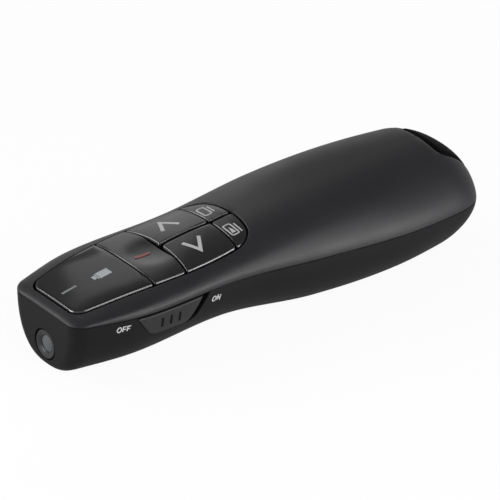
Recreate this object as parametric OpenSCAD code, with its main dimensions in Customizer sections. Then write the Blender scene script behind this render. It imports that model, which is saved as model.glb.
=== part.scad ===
// Wireless presentation clicker: a two-shell grip with a key panel, a laser in the nose,
// a slide switch on the side, two AAA cells behind a tip-open cover and a plug-in receiver in the tail.
// Millimetres. +X runs from the laser nose to the receiver end, +Y away from the slide switch, +Z up.
// The origin is under the middle of the body, on the surface that it rests on.

/* [Body form] */
// Length of the body from nose to tail
body_len = 115.5; // [113:0.5:118]
// Place of the head station, along X
head_x = -41; // [-43:0.5:-39]
// Place of the waist station, under the keys
waist_x = -15; // [-17:0.5:-13]
// Place of the heel station, behind the keys
heel_x = 9; // [7:0.5:11]
// Place of the palm station, the thickest part of the grip
palm_x = 33; // [31:0.5:35]
// Width at the nose, before its corners are rounded
nose_w = 24.3; // [23.5:0.1:26]
// Width at the head
head_w = 32.1; // [31:0.1:34]
// Width at the waist
waist_w = 31.7; // [31:0.1:34]
// Width at the heel
heel_w = 36.1; // [35:0.1:38]
// Width at the palm
palm_w = 37.7; // [36.5:0.1:40]
// Width at the tail, before its corners are rounded
tail_w = 31.8; // [31:0.1:34]
// Height of the top at the nose
nose_top = 15.9; // [15.6:0.1:17]
// Height of the top at the head
head_top = 19.2; // [18.8:0.1:20.5]
// Height of the top at the waist
waist_top = 22.2; // [21.8:0.1:23.5]
// Height of the top at the heel
heel_top = 25.6; // [25:0.1:27]
// Height of the top at the palm
palm_top = 27.35; // [26.8:0.05:29]
// Height of the top at the tail
tail_top = 27.3; // [26.8:0.1:29]
// Height of the underside at the nose
nose_base = 0.1; // [0:0.1:0.5]
// Height of the underside at the head
head_base = 0.6; // [0.2:0.1:0.9]
// Height of the underside at the waist
waist_base = 2.1; // [1.6:0.1:2.3]
// Height of the underside at the heel
heel_base = 0.1; // [0:0.1:0.3]
// Height of the underside at the palm
palm_base = 0; // [0:0.1:0.2]
// Height of the underside at the tail
tail_base = 2.3; // [1.9:0.1:2.5]

/* [Parting line] */
// Height of the parting line at the nose
nose_seam = 14.8; // [14.6:0.1:15]
// Height of the parting line at the head
head_seam = 15.2; // [15:0.1:15.4]
// Height of the parting line at the waist
waist_seam = 15.95; // [15.8:0.05:16.1]
// Height of the parting line at the heel
heel_seam = 15.6; // [15.4:0.1:15.8]
// Height of the parting line at the palm
palm_seam = 15.05; // [14.95:0.05:15.15]
// Height of the parting line at the tail
tail_seam = 14.9; // [14.85:0.05:15]

/* [Nose and tail] */
// Radius of the nose corners seen from above
nose_corner = 3.3; // [3:0.1:3.8]
// Length over which the top rolls down to the nose
nose_roll = 2.9; // [2.2:0.1:3.2]
// Radius of the lower nose edge
nose_chin = 1.8; // [1.4:0.1:2.4]
// Lean of the nose below the parting line, as a slope
nose_rake = 0.048; // [0:0.002:0.06]
// Place behind which the tail rounds in, seen from above
tail_round_x = 45.1; // [44:0.1:47]
// Place behind which the tail rounds in, seen from the side
tail_drop_x = 45.35; // [44.5:0.05:47]
// Share of the height that is left at the tail tip
tail_tip_share = 0.25; // [0.2:0.01:0.35]

/* [Walls and gaps] */
// Wall of both shells
wall = 1.8; // [1.6:0.05:1.9]
// Gap between a moving piece and what it moves in
gap = 0.3; // [0.25:0.01:0.35]
// Gap round each key
key_gap = 0.35; // [0.3:0.01:0.45]

/* [Key panel] */
// Place of the front edge of the panel
panel_front_x = -54.6; // [-54.8:0.1:-54]
// Place of the joint between the window and the laser key
window_rear_x = -35.55; // [-36.2:0.05:-35.2]
// Place of the joint between the laser key and the arrow keys
laser_rear_x = -25.75; // [-26.2:0.05:-25.4]
// Place of the joint between the arrow keys and the small keys
arrow_rear_x = -11.9; // [-12.4:0.05:-11.6]
// Place of the rear edge of the panel
panel_rear_x = -5.5; // [-5.8:0.1:-5]
// Greatest width of the panel
panel_w = 24.1; // [23.6:0.1:24.6]
// Width of the panel at its front edge
panel_front_w = 16.1; // [15.6:0.1:16.6]
// Place where the panel is widest
panel_widest_x = -26; // [-28:0.5:-24]
// Radius of the front corners of the panel
panel_front_r = 1.4; // [1:0.1:1.8]
// Radius of the rear corners of the panel
panel_rear_r = 3.5; // [3:0.1:4]
// Thickness of the keys and the window
key_t = 1.6; // [1.4:0.05:1.8]
// Depth of the deck under the crown of the panel
deck_drop = 3.6; // [3.5:0.05:3.8]
// Thickness of the deck of the key frame
deck_t = 1.2; // [1:0.05:1.3]
// Travel of every key
key_travel = 0.35; // [0.25:0.01:0.38]
// Diameter of the plunger under every key
plunger_d = 3; // [2.6:0.1:3.2]
// Depth of the finger dish in the laser key
dish_depth = 0.75; // [0.5:0.05:0.85]
// Radius of the finger dish in the laser key
dish_r = 20; // [16:1:26]
// Length of the red bar in the laser key
bar_len = 4.4; // [3.8:0.1:5]
// Width of the red bar in the laser key
bar_w = 0.9; // [0.7:0.05:1.1]

/* [Slide switch] */
// Middle of the knob at rest, along X
knob_x = -34.35; // [-34.8:0.05:-34]
// Length of the knob at its top edge
knob_len = 17.7; // [17:0.1:18.4]
// Length of the knob at its lower edge
knob_low_len = 10.6; // [10:0.1:11.2]
// Height of the lower edge of the knob
knob_low_z = 9.8; // [9.5:0.1:10]
// How far the knob stands out of the shell
knob_proud = 0.35; // [0.2:0.05:0.6]
// Travel of the knob from off to on
knob_travel = 1.5; // [1.2:0.1:1.7]
// Distance between two grooves in the knob
groove_pitch = 2.42; // [2.2:0.02:2.6]
// Width of a groove in the knob
groove_w = 0.7; // [0.5:0.05:0.9]

/* [Laser] */
// Height of the laser axis
laser_z = 5.8; // [5.7:0.05:6]
// Diameter of the laser barrel
barrel_d = 6; // [5.6:0.1:6.2]
// Length of the laser barrel
barrel_len = 12; // [10:0.5:13]
// Diameter of the recess round the aperture
bezel_d = 7; // [6.6:0.1:7.2]
// Diameter of the clear aperture
aperture_d = 4; // [3.6:0.1:4.2]

/* [Circuit board] */
// Height of the underside of the main board
board_z = 9.8; // [9.6:0.05:9.9]
// Thickness of the main board
board_t = 1; // [0.8:0.05:1.1]
// Side of a tact switch
tact_w = 6; // [5.6:0.1:6]
// Height of a tact switch, without its stem
tact_h = 3.4; // [3.2:0.1:3.4]
// Diameter of a tact switch stem
tact_stem_d = 3.4; // [3:0.1:3.5]

/* [Battery bay] */
// Diameter of an AAA cell
cell_d = 10.5; // [10.3:0.1:10.5]
// Length of an AAA cell with its nub
cell_len = 44.5; // [44:0.1:44.5]
// Distance between the axes of the two cells
cell_pitch = 10.8; // [10.6:0.1:10.9]
// Height of the cell axes
cell_z = 8.6; // [8.55:0.05:8.7]
// Place of the front contacts
bay_front_x = -3.5; // [-3.6:0.1:-3.2]
// Length of a compressed contact spring
spring_len = 3.1; // [2.8:0.1:3.2]
// Thickness of the contact plates
contact_t = 0.4; // [0.3:0.05:0.5]
// Width of the battery cover
cover_w = 24; // [23.8:0.1:24.4]
// Thickness of the battery cover
cover_t = 1.6; // [1.4:0.05:1.6]

/* [Receiver] */
// Width of the receiver stick
receiver_w = 15.6; // [15:0.1:15.8]
// Height of the receiver stick
receiver_h = 7.6; // [7.2:0.1:7.8]
// Radius of the long edges of the receiver stick
receiver_edge_r = 1.2; // [1:0.1:1.4]
// Height of the underside of the receiver
receiver_z = 15.5; // [15.4:0.05:15.6]
// Place of the front edge of the receiver cap
cap_x = 48.4; // [47.8:0.1:49]
// Length of the receiver from plug tip to cap
receiver_len = 44.2; // [43:0.1:44.8]
// Width of the plug
plug_w = 12; // [12:0.1:12.1]
// Height of the plug
plug_h = 4.5; // [4.4:0.1:4.6]
// Length of the bare plug
plug_len = 14; // [12:0.5:15]
// Thickness of the tray floor
tray_t = 1; // [0.8:0.05:1]

/* [Screws] */
// Diameter of a case screw shank
screw_d = 2; // [1.8:0.1:2.2]
// Diameter of a case screw head
screw_head_d = 3.6; // [3.3:0.1:3.8]
// Diameter of a board screw shank
board_screw_d = 1.4; // [1.2:0.1:1.5]

/* [Hidden] */
$fn = 48;
eps = 0.01;
far = 60;

// One value per station, from nose to tail
half_len = body_len / 2;
STATIONS = [-half_len, head_x, waist_x, heel_x, palm_x, half_len];
HALF_WIDTHS = [nose_w, head_w, waist_w, heel_w, palm_w, tail_w] / 2;
TOPS = [nose_top, head_top, waist_top, heel_top, palm_top, tail_top];
BASES = [nose_base, head_base, waist_base, heel_base, palm_base, tail_base];
SEAMS = [nose_seam, head_seam, waist_seam, heel_seam, palm_seam, tail_seam];
// Section exponents: 2 is an ellipse, more is squarer
CROWNS = [3, 2.8, 2.4, 2.4, 2.1, 1.9];
KEELS = [2.5, 2.4, 2.2, 2.3, 2.1, 1.8];
tail_round_n = 3.1;
tail_drop_n = 1.72;
least_share = 0.15;
rake_end_x = -30;

function share(v) = min(max(v, 0), 1);
function span(x, i = 0) = i > len(STATIONS) - 3 || x < STATIONS[i + 1] ? i : span(x, i + 1);
function slope(v, i) =
    let (a = max(i - 1, 0), b = min(i + 1, len(v) - 1))
    (v[b] - v[a]) / (STATIONS[b] - STATIONS[a]);
// Value of the station list v at x, on a smooth curve of cubic pieces through the stations
function along(v, x) =
    let (i = span(x), h = STATIONS[i + 1] - STATIONS[i], t = share((x - STATIONS[i]) / h))
    (2 * t^3 - 3 * t^2 + 1) * v[i] + (t^3 - 2 * t^2 + t) * h * slope(v, i)
    + (3 * t^2 - 2 * t^3) * v[i + 1] + (t^3 - t^2) * h * slope(v, i + 1);

// How far a quarter round of radius r at the nose cuts in at x
function nose_cut(x, r) = let (d = min(max(r - half_len - x, 0), r)) r - sqrt(r * r - d * d);
function nose_fade(x) =
    least_share + (1 - least_share) * sqrt(1 - share((nose_roll - half_len - x) / nose_roll)^2);
function tail_fade(x, from, n) = (1 - share((x - from) / (half_len - from))^n)^(1 / n);
function tail_height(x) = tail_tip_share + (1 - tail_tip_share) * tail_fade(x, tail_drop_x, tail_drop_n);

function seam_z(x) = along(SEAMS, x);
function half_width(x) =
    (along(HALF_WIDTHS, x) - nose_cut(x, nose_corner))
    * max(tail_fade(x, tail_round_x, tail_round_n), least_share);
function rise(x) = (along(TOPS, x) - seam_z(x)) * nose_fade(x) * tail_height(x);
function fall(x) = (seam_z(x) - along(BASES, x) - nose_cut(x, nose_chin)) * tail_height(x);
function raked(x, z) =
    let (f = share((rake_end_x - x) / (rake_end_x + half_len)))
    x + nose_rake * max(seam_z(x) - z, 0) * f^2 * (3 - 2 * f);

// A half axis a of the section, taken a depth d inwards without ever crossing the middle
function inwards(a, d) = a * a / (a + d);
// Point of the skin at station x and section angle t, a depth d under the outer surface
function skin_point(x, t, d) =
    let (
        up = t <= 180,
        n = along(up ? CROWNS : KEELS, x),
        y = inwards(half_width(x), d) * sign(cos(t)) * abs(cos(t))^(2 / n),
        h = inwards(up ? rise(x) : fall(x), d),
        z = max(seam_z(x) + h * sign(sin(t)) * abs(sin(t))^(2 / n), d)
    )
    [raked(x * (half_len - d) / half_len, z), y, z];
// The same, or, on a sheet, straight under the outer surface
function layer_point(x, t, d, sheet) = sheet ? skin_point(x, t, 0) - [0, 0, d] : skin_point(x, t, d);
function section_share(x, y, n) = (1 - share(abs(y) / half_width(x))^n)^(1 / n);
function top_z(x, y = 0) = seam_z(x) + rise(x) * section_share(x, y, along(CROWNS, x));
function base_z(x, y = 0) = max(seam_z(x) - fall(x) * section_share(x, y, along(KEELS, x)), 0);

// Stations and angles of the skins, closer together where the form turns quickly
nose_rows = [for (i = [0 : 7]) -half_len + nose_corner * (1 - cos(90 * i / 7))];
mid_rows = [for (i = [1 : 24]) nose_corner - half_len + (tail_round_x + half_len - nose_corner) * i / 24];
tail_rows = [for (i = [1 : 12]) tail_round_x + (half_len - tail_round_x) * sin(90 * i / 12)];
ROWS = concat(nose_rows, mid_rows, tail_rows);
CORE_ROWS = concat([for (i = [0 : 2 : len(ROWS) - 1]) ROWS[i]], [half_len]);
top_angles = [for (i = [0 : 20]) 9 * i];
base_angles = [for (i = [0 : 20]) 180 + 9 * i];
function rows(from, to, step) = [for (i = [0 : ceil((to - from) / step)]) min(from + i * step, to)];

function quad(a, b, c, d) = [[a, b, c], [a, c, d]];

// Closed skin between two depths, over stations xs and angles ts. A whole skin closes over nose and tail,
// and a sheet has its depths measured straight down.
module skin(xs, ts, outer, inner, whole = false, sheet = false) {
    m = len(xs) - 1;
    n = len(ts) - 1;
    function at(layer, i, j) = (layer * (m + 1) + i) * (n + 1) + j;
    ends = whole ? [
        [for (j = [0 : n]) at(0, 0, j)],
        [for (j = [n : -1 : 0]) at(1, 0, j)],
        [at(0, 0, 0), at(0, 0, n), at(1, 0, n), at(1, 0, 0)],
        [for (j = [n : -1 : 0]) at(0, m, j)],
        [for (j = [0 : n]) at(1, m, j)],
        [at(0, m, n), at(0, m, 0), at(1, m, 0), at(1, m, n)]
    ] : [
        for (j = [0 : n - 1]) each concat(
            quad(at(0, 0, j), at(0, 0, j + 1), at(1, 0, j + 1), at(1, 0, j)),
            quad(at(0, m, j), at(1, m, j), at(1, m, j + 1), at(0, m, j + 1)))
    ];
    faces = [
        for (i = [0 : m - 1], j = [0 : n - 1]) each concat(
            quad(at(0, i, j), at(0, i + 1, j), at(0, i + 1, j + 1), at(0, i, j + 1)),
            quad(at(1, i, j), at(1, i, j + 1), at(1, i + 1, j + 1), at(1, i + 1, j))),
        for (i = [0 : m - 1]) each concat(
            quad(at(0, i, 0), at(1, i, 0), at(1, i + 1, 0), at(0, i + 1, 0)),
            quad(at(0, i, n), at(0, i + 1, n), at(1, i + 1, n), at(1, i, n)))
    ];
    polyhedron([for (d = [outer, inner], x = xs, t = ts) layer_point(x, t, d, sheet)],
        concat(faces, ends), convexity = 8);
}

// Solid body form over stations xs, a depth d under the outer surface
module core(xs, d) {
    m = len(xs) - 1;
    n = 32;
    function at(i, j) = i * n + j % n;
    polyhedron([for (x = xs, j = [0 : n - 1]) skin_point(x, 360 * j / n, d)], [
        for (i = [0 : m - 1], j = [0 : n - 1]) each
            quad(at(i, j), at(i + 1, j), at(i + 1, j + 1), at(i, j + 1)),
        [for (j = [0 : n / 2]) at(0, j)],
        [for (j = [n / 2 : n]) at(0, j)],
        [for (j = [n - 1 : -1 : 0]) at(m, j)]
    ], convexity = 4);
}

// Outline with round corners, where each corner is [x, y, radius]
function rounded(corners, steps = 5) = [
    for (i = [0 : len(corners) - 1])
        let (
            n = len(corners), p = [corners[i].x, corners[i].y], r = corners[i].z,
            before = corners[(i + n - 1) % n], after = corners[(i + 1) % n],
            a = [before.x, before.y] - p, b = [after.x, after.y] - p,
            u = a / norm(a), v = b / norm(b), turn = acos(max(min(u * v, 1), -1))
        )
        each r == 0 ? [p] :
            let (
                c = p + (u + v) / norm(u + v) * r / sin(turn / 2),
                from = p + u * r / tan(turn / 2) - c, to = p + v * r / tan(turn / 2) - c,
                arc = 180 - turn
            )
            [for (k = [0 : steps])
                c + (from * sin(arc * (1 - k / steps)) + to * sin(arc * k / steps)) / sin(arc)]
];
function box_outline(x0, x1, y0, y1, r) = rounded([[x0, y0, r], [x1, y0, r], [x1, y1, r], [x0, y1, r]]);

module prism(outline, z0, z1) translate([0, 0, z0]) linear_extrude(z1 - z0) polygon(outline);
// Prism along Y over an outline in X and Z
module prism_y(outline, y0, y1)
    translate([0, y1, 0]) rotate([90, 0, 0]) linear_extrude(y1 - y0) polygon(outline);
// Prism along X over an outline in Y and Z
module prism_x(outline, x0, x1)
    translate([x0, 0, 0]) rotate([90, 0, 90]) linear_extrude(x1 - x0) polygon(outline);
module block(x0, x1, y0, y1, z0, z1) translate([x0, y0, z0]) cube([x1 - x0, y1 - y0, z1 - z0]);
module post(x, y, z0, z1, d) translate([x, y, z0]) cylinder(h = z1 - z0, d = d);
module rod_x(x0, x1, y, z, d) translate([x0, y, z]) rotate([0, 90, 0]) cylinder(h = x1 - x0, d = d);
module both_sides() for (s = [-1, 1]) scale_y(s) children();
module scale_y(s) if (s > 0) children(); else mirror([0, 1, 0]) children();

// Panel: its joints, each with how far it bows forwards at the panel edge
BORDERS = [panel_front_x, window_rear_x, laser_rear_x, arrow_rear_x, panel_rear_x];
BOWS = [0, 0, 1.35, 0.7, 3.2];
panel_taper = (panel_w - panel_front_w) / 2 / (panel_front_x - panel_widest_x)^2;
function panel_half(x) = panel_w / 2 - panel_taper * (x - panel_widest_x)^2;
function border_x(k, y) = BORDERS[k] - BOWS[k] * (2 * y / panel_w)^2;
panel_corner_y = panel_half(panel_rear_x - 0.8 * BOWS[4]);
side_front_x = panel_front_x + 6.6;
side_rear_x = panel_rear_x - 7.5;

// Outline of the whole panel, grown by g
function panel_side(g, s) = concat(
    [[panel_front_x - g, s * (panel_half(panel_front_x) + g), max(panel_front_r + g, 0.3)]],
    [for (i = [0 : 5]) let (x = side_front_x + (side_rear_x - side_front_x) * i / 5) [x, s * (panel_half(x) + g), 0]],
    [[border_x(4, panel_corner_y) + g, s * (panel_corner_y + g), panel_rear_r + g]],
    [for (y = [4.5, 2.2]) [border_x(4, y) + g, s * y, 0]]);
function backwards(v) = [for (i = [len(v) - 1 : -1 : 0]) v[i]];
function panel_edge(g) =
    rounded(concat(panel_side(g, -1), [[panel_rear_x + g, 0, 0]], backwards(panel_side(g, 1))));
// Outline between joints a and b from y0 to y1, half a key gap inside each joint
function cell_outline(a, b, y0, y1) = let (ys = [for (i = [0 : 6]) y0 + (y1 - y0) * i / 6]) concat(
    [for (y = ys) [a == 0 ? -far : border_x(a, y) + key_gap / 2, y]],
    [for (y = backwards(ys)) [b == 4 ? far : border_x(b, y) - key_gap / 2, y]]);
side_y = panel_w / 2 + 1;

// The crown of the panel between joints a and b, from one depth to another straight under it
module panel_sheet(a, b, upper, lower)
    skin(rows(BORDERS[a] - BOWS[a] - 1, BORDERS[b] + 1, 2.2), PANEL_ANGLES, upper, lower, sheet = true);
// A piece of the panel, key_gap inside the panel edge
module panel_piece(a, b, y0, y1) intersection() {
    panel_sheet(a, b, 0, key_t);
    prism(panel_edge(-key_gap), 0, far);
    prism(cell_outline(a, b, y0, y1), 0, far);
}
skirt_t = 1;
PANEL_ANGLES = [for (t = [33 : 6 : 147]) t];

// Deck plane, parallel to the crown of the panel
deck_slope = (top_z(panel_rear_x) - top_z(panel_front_x)) / (panel_rear_x - panel_front_x);
function deck_top(x) = top_z(panel_front_x) - deck_drop + deck_slope * (x - panel_front_x);
function deck_under(x) = deck_top(x) - deck_t;
function deck_band(z_low, z_high) = [
    [-far, z_low + deck_top(-far)], [0, z_low + deck_top(0)],
    [0, z_high + deck_top(0)], [-far, z_high + deck_top(-far)]];

// Keys: middle of each, and the distance from there to its two snap legs
small_row_y = 5;
arrow_row_y = 5.6;
LASER_KEY = [(window_rear_x + laser_rear_x) / 2, 0, 6];
PREVIOUS_KEY = [(laser_rear_x + arrow_rear_x) / 2, -arrow_row_y, 3.6];
NEXT_KEY = [PREVIOUS_KEY.x, arrow_row_y, 3.6];
PLAY_KEY = [(arrow_rear_x + panel_rear_x) / 2, -small_row_y, 3.1];
BLANK_KEY = [PLAY_KEY.x, small_row_y, 3.1];
KEYS = [LASER_KEY, PREVIOUS_KEY, NEXT_KEY, PLAY_KEY, BLANK_KEY];
front_stop_x = bay_front_x + contact_t;
rear_stop_x = front_stop_x + cell_len + spring_len;
bay_rear_x = rear_stop_x + contact_t;
// Case screws, each with its place in X and Y and the height of its seat
SCREWS = [[PLAY_KEY.x + 0.1, 13, 11.6], [bay_rear_x + 4.6, 10.6, 8.8]];
board_front_x = panel_front_x + 1.8;
board_top = board_z + board_t;
tact_top = board_top + tact_h;
stem_rise = 0.9;
stem_top = tact_top + stem_rise;
stem_len = 1.95;
leg_x = 1.6;
leg_y = 1.2;
barb = 0.35;
barb_h = 0.8;
slot_play = 0.2;

module key_leg(x, y) {
    low = deck_under(x - leg_x / 2 - barb) - 0.05;
    block(x - leg_x / 2, x + leg_x / 2, y - leg_y / 2, y + leg_y / 2, low - barb_h, top_z(x, y) - key_t / 2);
    block(x - leg_x / 2 - barb, x + leg_x / 2 + barb, y - leg_y / 2, y + leg_y / 2, low - barb_h, low);
}

// What every key has under its cap: a plunger and two snap legs
module key_underside(place) {
    post(place.x, place.y, stem_top, top_z(place.x, place.y) - key_t / 2, plunger_d);
    for (s = [-1, 1]) key_leg(place.x, place.y + s * place.z);
}

dish_z = top_z(LASER_KEY.x) - dish_depth;
bar_sink = 0.5;
bar_play = 0.02;
module laser_bar_space(play, z1)
    block(LASER_KEY.x - bar_len / 2 - play, LASER_KEY.x + bar_len / 2 + play,
        -bar_w / 2 - play, bar_w / 2 + play, dish_z - bar_sink - play, z1);
module laser_button() color([0.1, 0.1, 0.11]) {
    difference() {
        panel_piece(1, 2, -side_y, side_y);
        translate([LASER_KEY.x, 0, dish_z + dish_r]) sphere(r = dish_r, $fn = 96);
        laser_bar_space(bar_play, far);
    }
    post(LASER_KEY.x, 0, stem_top, dish_z - bar_sink - bar_play, plunger_d);
    for (s = [-1, 1]) key_leg(LASER_KEY.x, s * LASER_KEY.z);
}
module laser_bar() color([0.5, 0.05, 0.06]) laser_bar_space(0, dish_z + 0.08);

module small_key(place, a, b, y0, y1) color([0.16, 0.16, 0.17]) {
    panel_piece(a, b, y0, y1);
    key_underside(place);
}
module previous_button() small_key(PREVIOUS_KEY, 2, 3, -side_y, -key_gap / 2);
module next_button() small_key(NEXT_KEY, 2, 3, key_gap / 2, side_y);
module play_button() small_key(PLAY_KEY, 3, 4, -side_y, -key_gap / 2);
module blank_button() small_key(BLANK_KEY, 3, 4, key_gap / 2, side_y);

module switch_stem(place) color([0.12, 0.12, 0.12])
    post(place.x, place.y, stem_top - stem_len, stem_top, tact_stem_d);
module laser_switch_stem() switch_stem(LASER_KEY);
module previous_switch_stem() switch_stem(PREVIOUS_KEY);
module next_switch_stem() switch_stem(NEXT_KEY);
module play_switch_stem() switch_stem(PLAY_KEY);
module blank_switch_stem() switch_stem(BLANK_KEY);

module tact_switches() color([0.75, 0.76, 0.78]) for (k = KEYS) difference() {
    block(k.x - tact_w / 2, k.x + tact_w / 2, k.y - tact_w / 2, k.y + tact_w / 2, board_top, tact_top);
    post(k.x, k.y, stem_top - stem_len - key_travel - 0.1, far, tact_stem_d + 0.2);
}

// Window and what shows through it
status_x = panel_front_x + 3.9;
battery_x = window_rear_x - 6.65;
GUIDES = [[status_x, 4.2, 0.9], [battery_x, 3.4, 2.4]];
guide_gap = 0.05;
module status_window() color([0.08, 0.08, 0.09]) panel_piece(0, 1, -side_y, side_y);
module guide_space(g, play, z0, z1)
    block(g.x - g.y / 2 - play, g.x + g.y / 2 + play, -g.z / 2 - play, g.z / 2 + play, z0, z1);
led_h = 0.7;
module light_guides() color([0.85, 0.88, 0.92]) for (g = GUIDES)
    guide_space(g, 0, board_top + led_h + 0.1, top_z(g.x - g.y / 2, g.z / 2) - key_t - 0.25);
module status_leds() color([0.95, 0.93, 0.8]) for (g = GUIDES)
    block(g.x - 0.8, g.x + 0.8, -0.4, 0.4, board_top, board_top + led_h);

// Key frame: a deck under the panel, a seat for the window and posts for the board
seat_w = 1.2;
seat_h = deck_drop - key_t - 0.3;
FRAME_POSTS = [[board_front_x + 8.3, 8.2], [laser_rear_x + 0.75, 8.6]];
frame_post_d = 3;
module key_frame() color([0.09, 0.09, 0.1]) difference() {
    union() {
        intersection() {
            prism(panel_edge(skirt_t), 0, far);
            prism_y(deck_band(-deck_t, 0), -far, far);
        }
        intersection() {
            prism_y(deck_band(-deck_t / 2, seat_h), -far, far);
            prism(cell_outline(0, 1, -side_y, side_y), 0, far);
            difference() {
                prism(panel_edge(-key_gap), 0, far);
                prism(panel_edge(-key_gap - seat_w), -1, far + 1);
            }
        }
        for (p = FRAME_POSTS) both_sides() post(p.x, p.y, board_top, deck_under(p.x) + deck_t / 2, frame_post_d);
    }
    for (k = KEYS) {
        post(k.x, k.y, 0, far, plunger_d + 0.6);
        for (s = [-1, 1]) block(
            k.x - leg_x / 2 - slot_play, k.x + leg_x / 2 + slot_play,
            k.y + s * k.z - leg_y / 2 - slot_play, k.y + s * k.z + leg_y / 2 + slot_play, 0, far);
    }
    for (g = GUIDES) guide_space(g, guide_gap, 0, far);
    for (p = FRAME_POSTS) both_sides() post(p.x, p.y, 0, deck_under(p.x) - 0.6, board_screw_d);
    for (p = SCREWS) both_sides() post(p.x, p.y, 0, far, boss_d + 2 * gap);
}

// Slide switch on the -Y side
recess_y = 14.4;
pad_y = 13.2;
pad_margin = 1.6;
knob_back_y = recess_y + 0.2;
slide_z = board_top + 0.85;
slide_lever_x = knob_x - knob_travel / 2;
knob_lip = 0.25;
knob_play = 0.2;
knob_corner_r = 1.4;
// Half the length of the knob at height z
function knob_half(z) =
    (knob_low_len + (knob_len - knob_low_len) * (z - knob_low_z) / (seam_z(knob_x) - knob_lip - knob_low_z)) / 2;
// Outline of the knob in X and Z, grown by g, up to a height over the parting line, with extra length at the rear
function knob_outline(g, top, extra) =
    let (
        half = knob_half(seam_z(knob_x) + top) + g, low = knob_half(knob_low_z - g) + g,
        x0 = knob_x - half, x1 = knob_x + half + extra
    )
    rounded(concat(
        [[knob_x - low, knob_low_z - g, knob_corner_r], [knob_x + low + extra, knob_low_z - g, knob_corner_r]],
        [for (f = [1 : -0.125 : 0]) let (x = x0 + (x1 - x0) * f) [x, seam_z(x) + top, 0]]
    ));
KNOB_ROWS = rows(knob_x - knob_len / 2 - 1.5, knob_x + knob_len / 2 + 1.5, 1.7);
KNOB_ANGLES = [for (t = [180 : 5 : 240]) t];

module slide_knob() color([0.17, 0.17, 0.18]) difference() {
    union() {
        intersection() {
            skin(KNOB_ROWS, KNOB_ANGLES, -knob_proud, 2.4);
            prism_y(knob_outline(0, -knob_lip, 0), -far, -knob_back_y);
        }
        block(slide_lever_x - 2, slide_lever_x + 2, -knob_back_y - 0.4, -pad_y + 0.3, slide_z - 0.75, slide_z + 0.75);
    }
    for (i = [-1 : 1]) block(
        knob_x + i * groove_pitch - groove_w / 2, knob_x + i * groove_pitch + groove_w / 2,
        -far, -half_width(knob_x) - knob_proud + 0.75, 11.5, 14.1);
    block(slide_lever_x - 0.7, slide_lever_x + 0.7, -knob_back_y + 0.2, 0, slide_z - 0.5, slide_z + 0.5);
}
module slide_switch_lever() color([0.9, 0.9, 0.88])
    block(slide_lever_x - 0.65, slide_lever_x + 0.65, -knob_back_y + 0.35, -11.4, slide_z - 0.45, slide_z + 0.45);
module slide_switch_body() color([0.72, 0.73, 0.75]) difference() {
    block(knob_x - 3.4, knob_x + 3.4, -12.4, -9.8, board_top, board_top + 1.6);
    block(slide_lever_x - 0.8, slide_lever_x + knob_travel + 0.8, -13, -11.2, slide_z - 0.55, slide_z + 0.55);
}

// Laser in the nose
nose_face_x = raked(-half_len, laser_z);
bezel_floor_x = nose_face_x + 0.9;
wall_inner_x = raked(wall - half_len, laser_z);
barrel_x = wall_inner_x + 0.35;
barrel_end_x = barrel_x + barrel_len;
barrel_bore_d = barrel_d - 1.8;
module nose_bezel() color([0.06, 0.06, 0.07])
    translate([bezel_floor_x, 0, laser_z]) rotate([0, -90, 0]) rotate_extrude() polygon([
        [aperture_d / 2, 0], [bezel_d / 2 - 0.05, 0], [bezel_d / 2 - 0.05, 0.6], [aperture_d / 2 + 0.9, 0.6]]);
module aperture_window() color([0.5, 0.5, 0.52])
    rod_x(bezel_floor_x, bezel_floor_x + 0.8, 0, laser_z, aperture_d + 0.5);
module laser_barrel() color([0.72, 0.6, 0.32]) difference() {
    rod_x(barrel_x, barrel_end_x, 0, laser_z, barrel_d);
    rod_x(barrel_x - 1, barrel_end_x + 1, 0, laser_z, barrel_bore_d);
}
module laser_lens() color([0.85, 0.88, 0.9]) rod_x(barrel_x + 0.4, barrel_x + 2.4, 0, laser_z, barrel_bore_d - 0.04);
module laser_diode() color([0.78, 0.7, 0.45])
    rod_x(barrel_end_x - 4, barrel_end_x, 0, laser_z, barrel_bore_d - 0.04);
module laser_board() color([0.08, 0.3, 0.16])
    block(barrel_end_x, barrel_end_x + 0.8, -3.5, 3.5, laser_z - 3, laser_z + 3.2);
module laser_leads() color([0.8, 0.8, 0.8]) for (y = [-2, 2])
    post(barrel_end_x + 1.1, y, laser_z + 1, board_z, 0.6);

// Main board with its parts
board_half = 10.3;
board_front_half = panel_front_w / 2 + 0.15;
board_rear_x = bay_front_x - 2.1;
board_rear_half = 8.8;
board_neck_x = SCREWS[0].x - 0.6;
wing_half = 4.6;
wing_y = pad_y - gap;
BOARD_OUTLINE = rounded([
    [board_front_x, -board_front_half, 1], [board_front_x + 2.8, -board_half, 1],
    [knob_x - wing_half, -board_half, 0.3], [knob_x - wing_half, -wing_y, 0.5],
    [knob_x + wing_half, -wing_y, 0.5], [knob_x + wing_half, -board_half, 0.3],
    [board_neck_x - 1.8, -board_half, 1], [board_neck_x, -board_rear_half, 1],
    [board_rear_x, -board_rear_half, 0.5], [board_rear_x, board_rear_half, 0.5],
    [board_neck_x, board_rear_half, 1], [board_neck_x - 1.8, board_half, 1],
    [board_front_x + 2.8, board_half, 1], [board_front_x, board_front_half, 1]]);
module main_board() color([0.07, 0.28, 0.14]) difference() {
    prism(BOARD_OUTLINE, board_z, board_top);
    for (p = FRAME_POSTS) both_sides() post(p.x, p.y, 0, far, board_screw_d + 0.3);
}
module board_screws() color([0.7, 0.7, 0.72]) for (p = FRAME_POSTS) both_sides() {
    post(p.x, p.y, board_z - 0.7, board_z, board_screw_d + 1.2);
    post(p.x, p.y, board_z - 0.7, deck_under(p.x) - 0.8, board_screw_d - 0.04);
}
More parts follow.
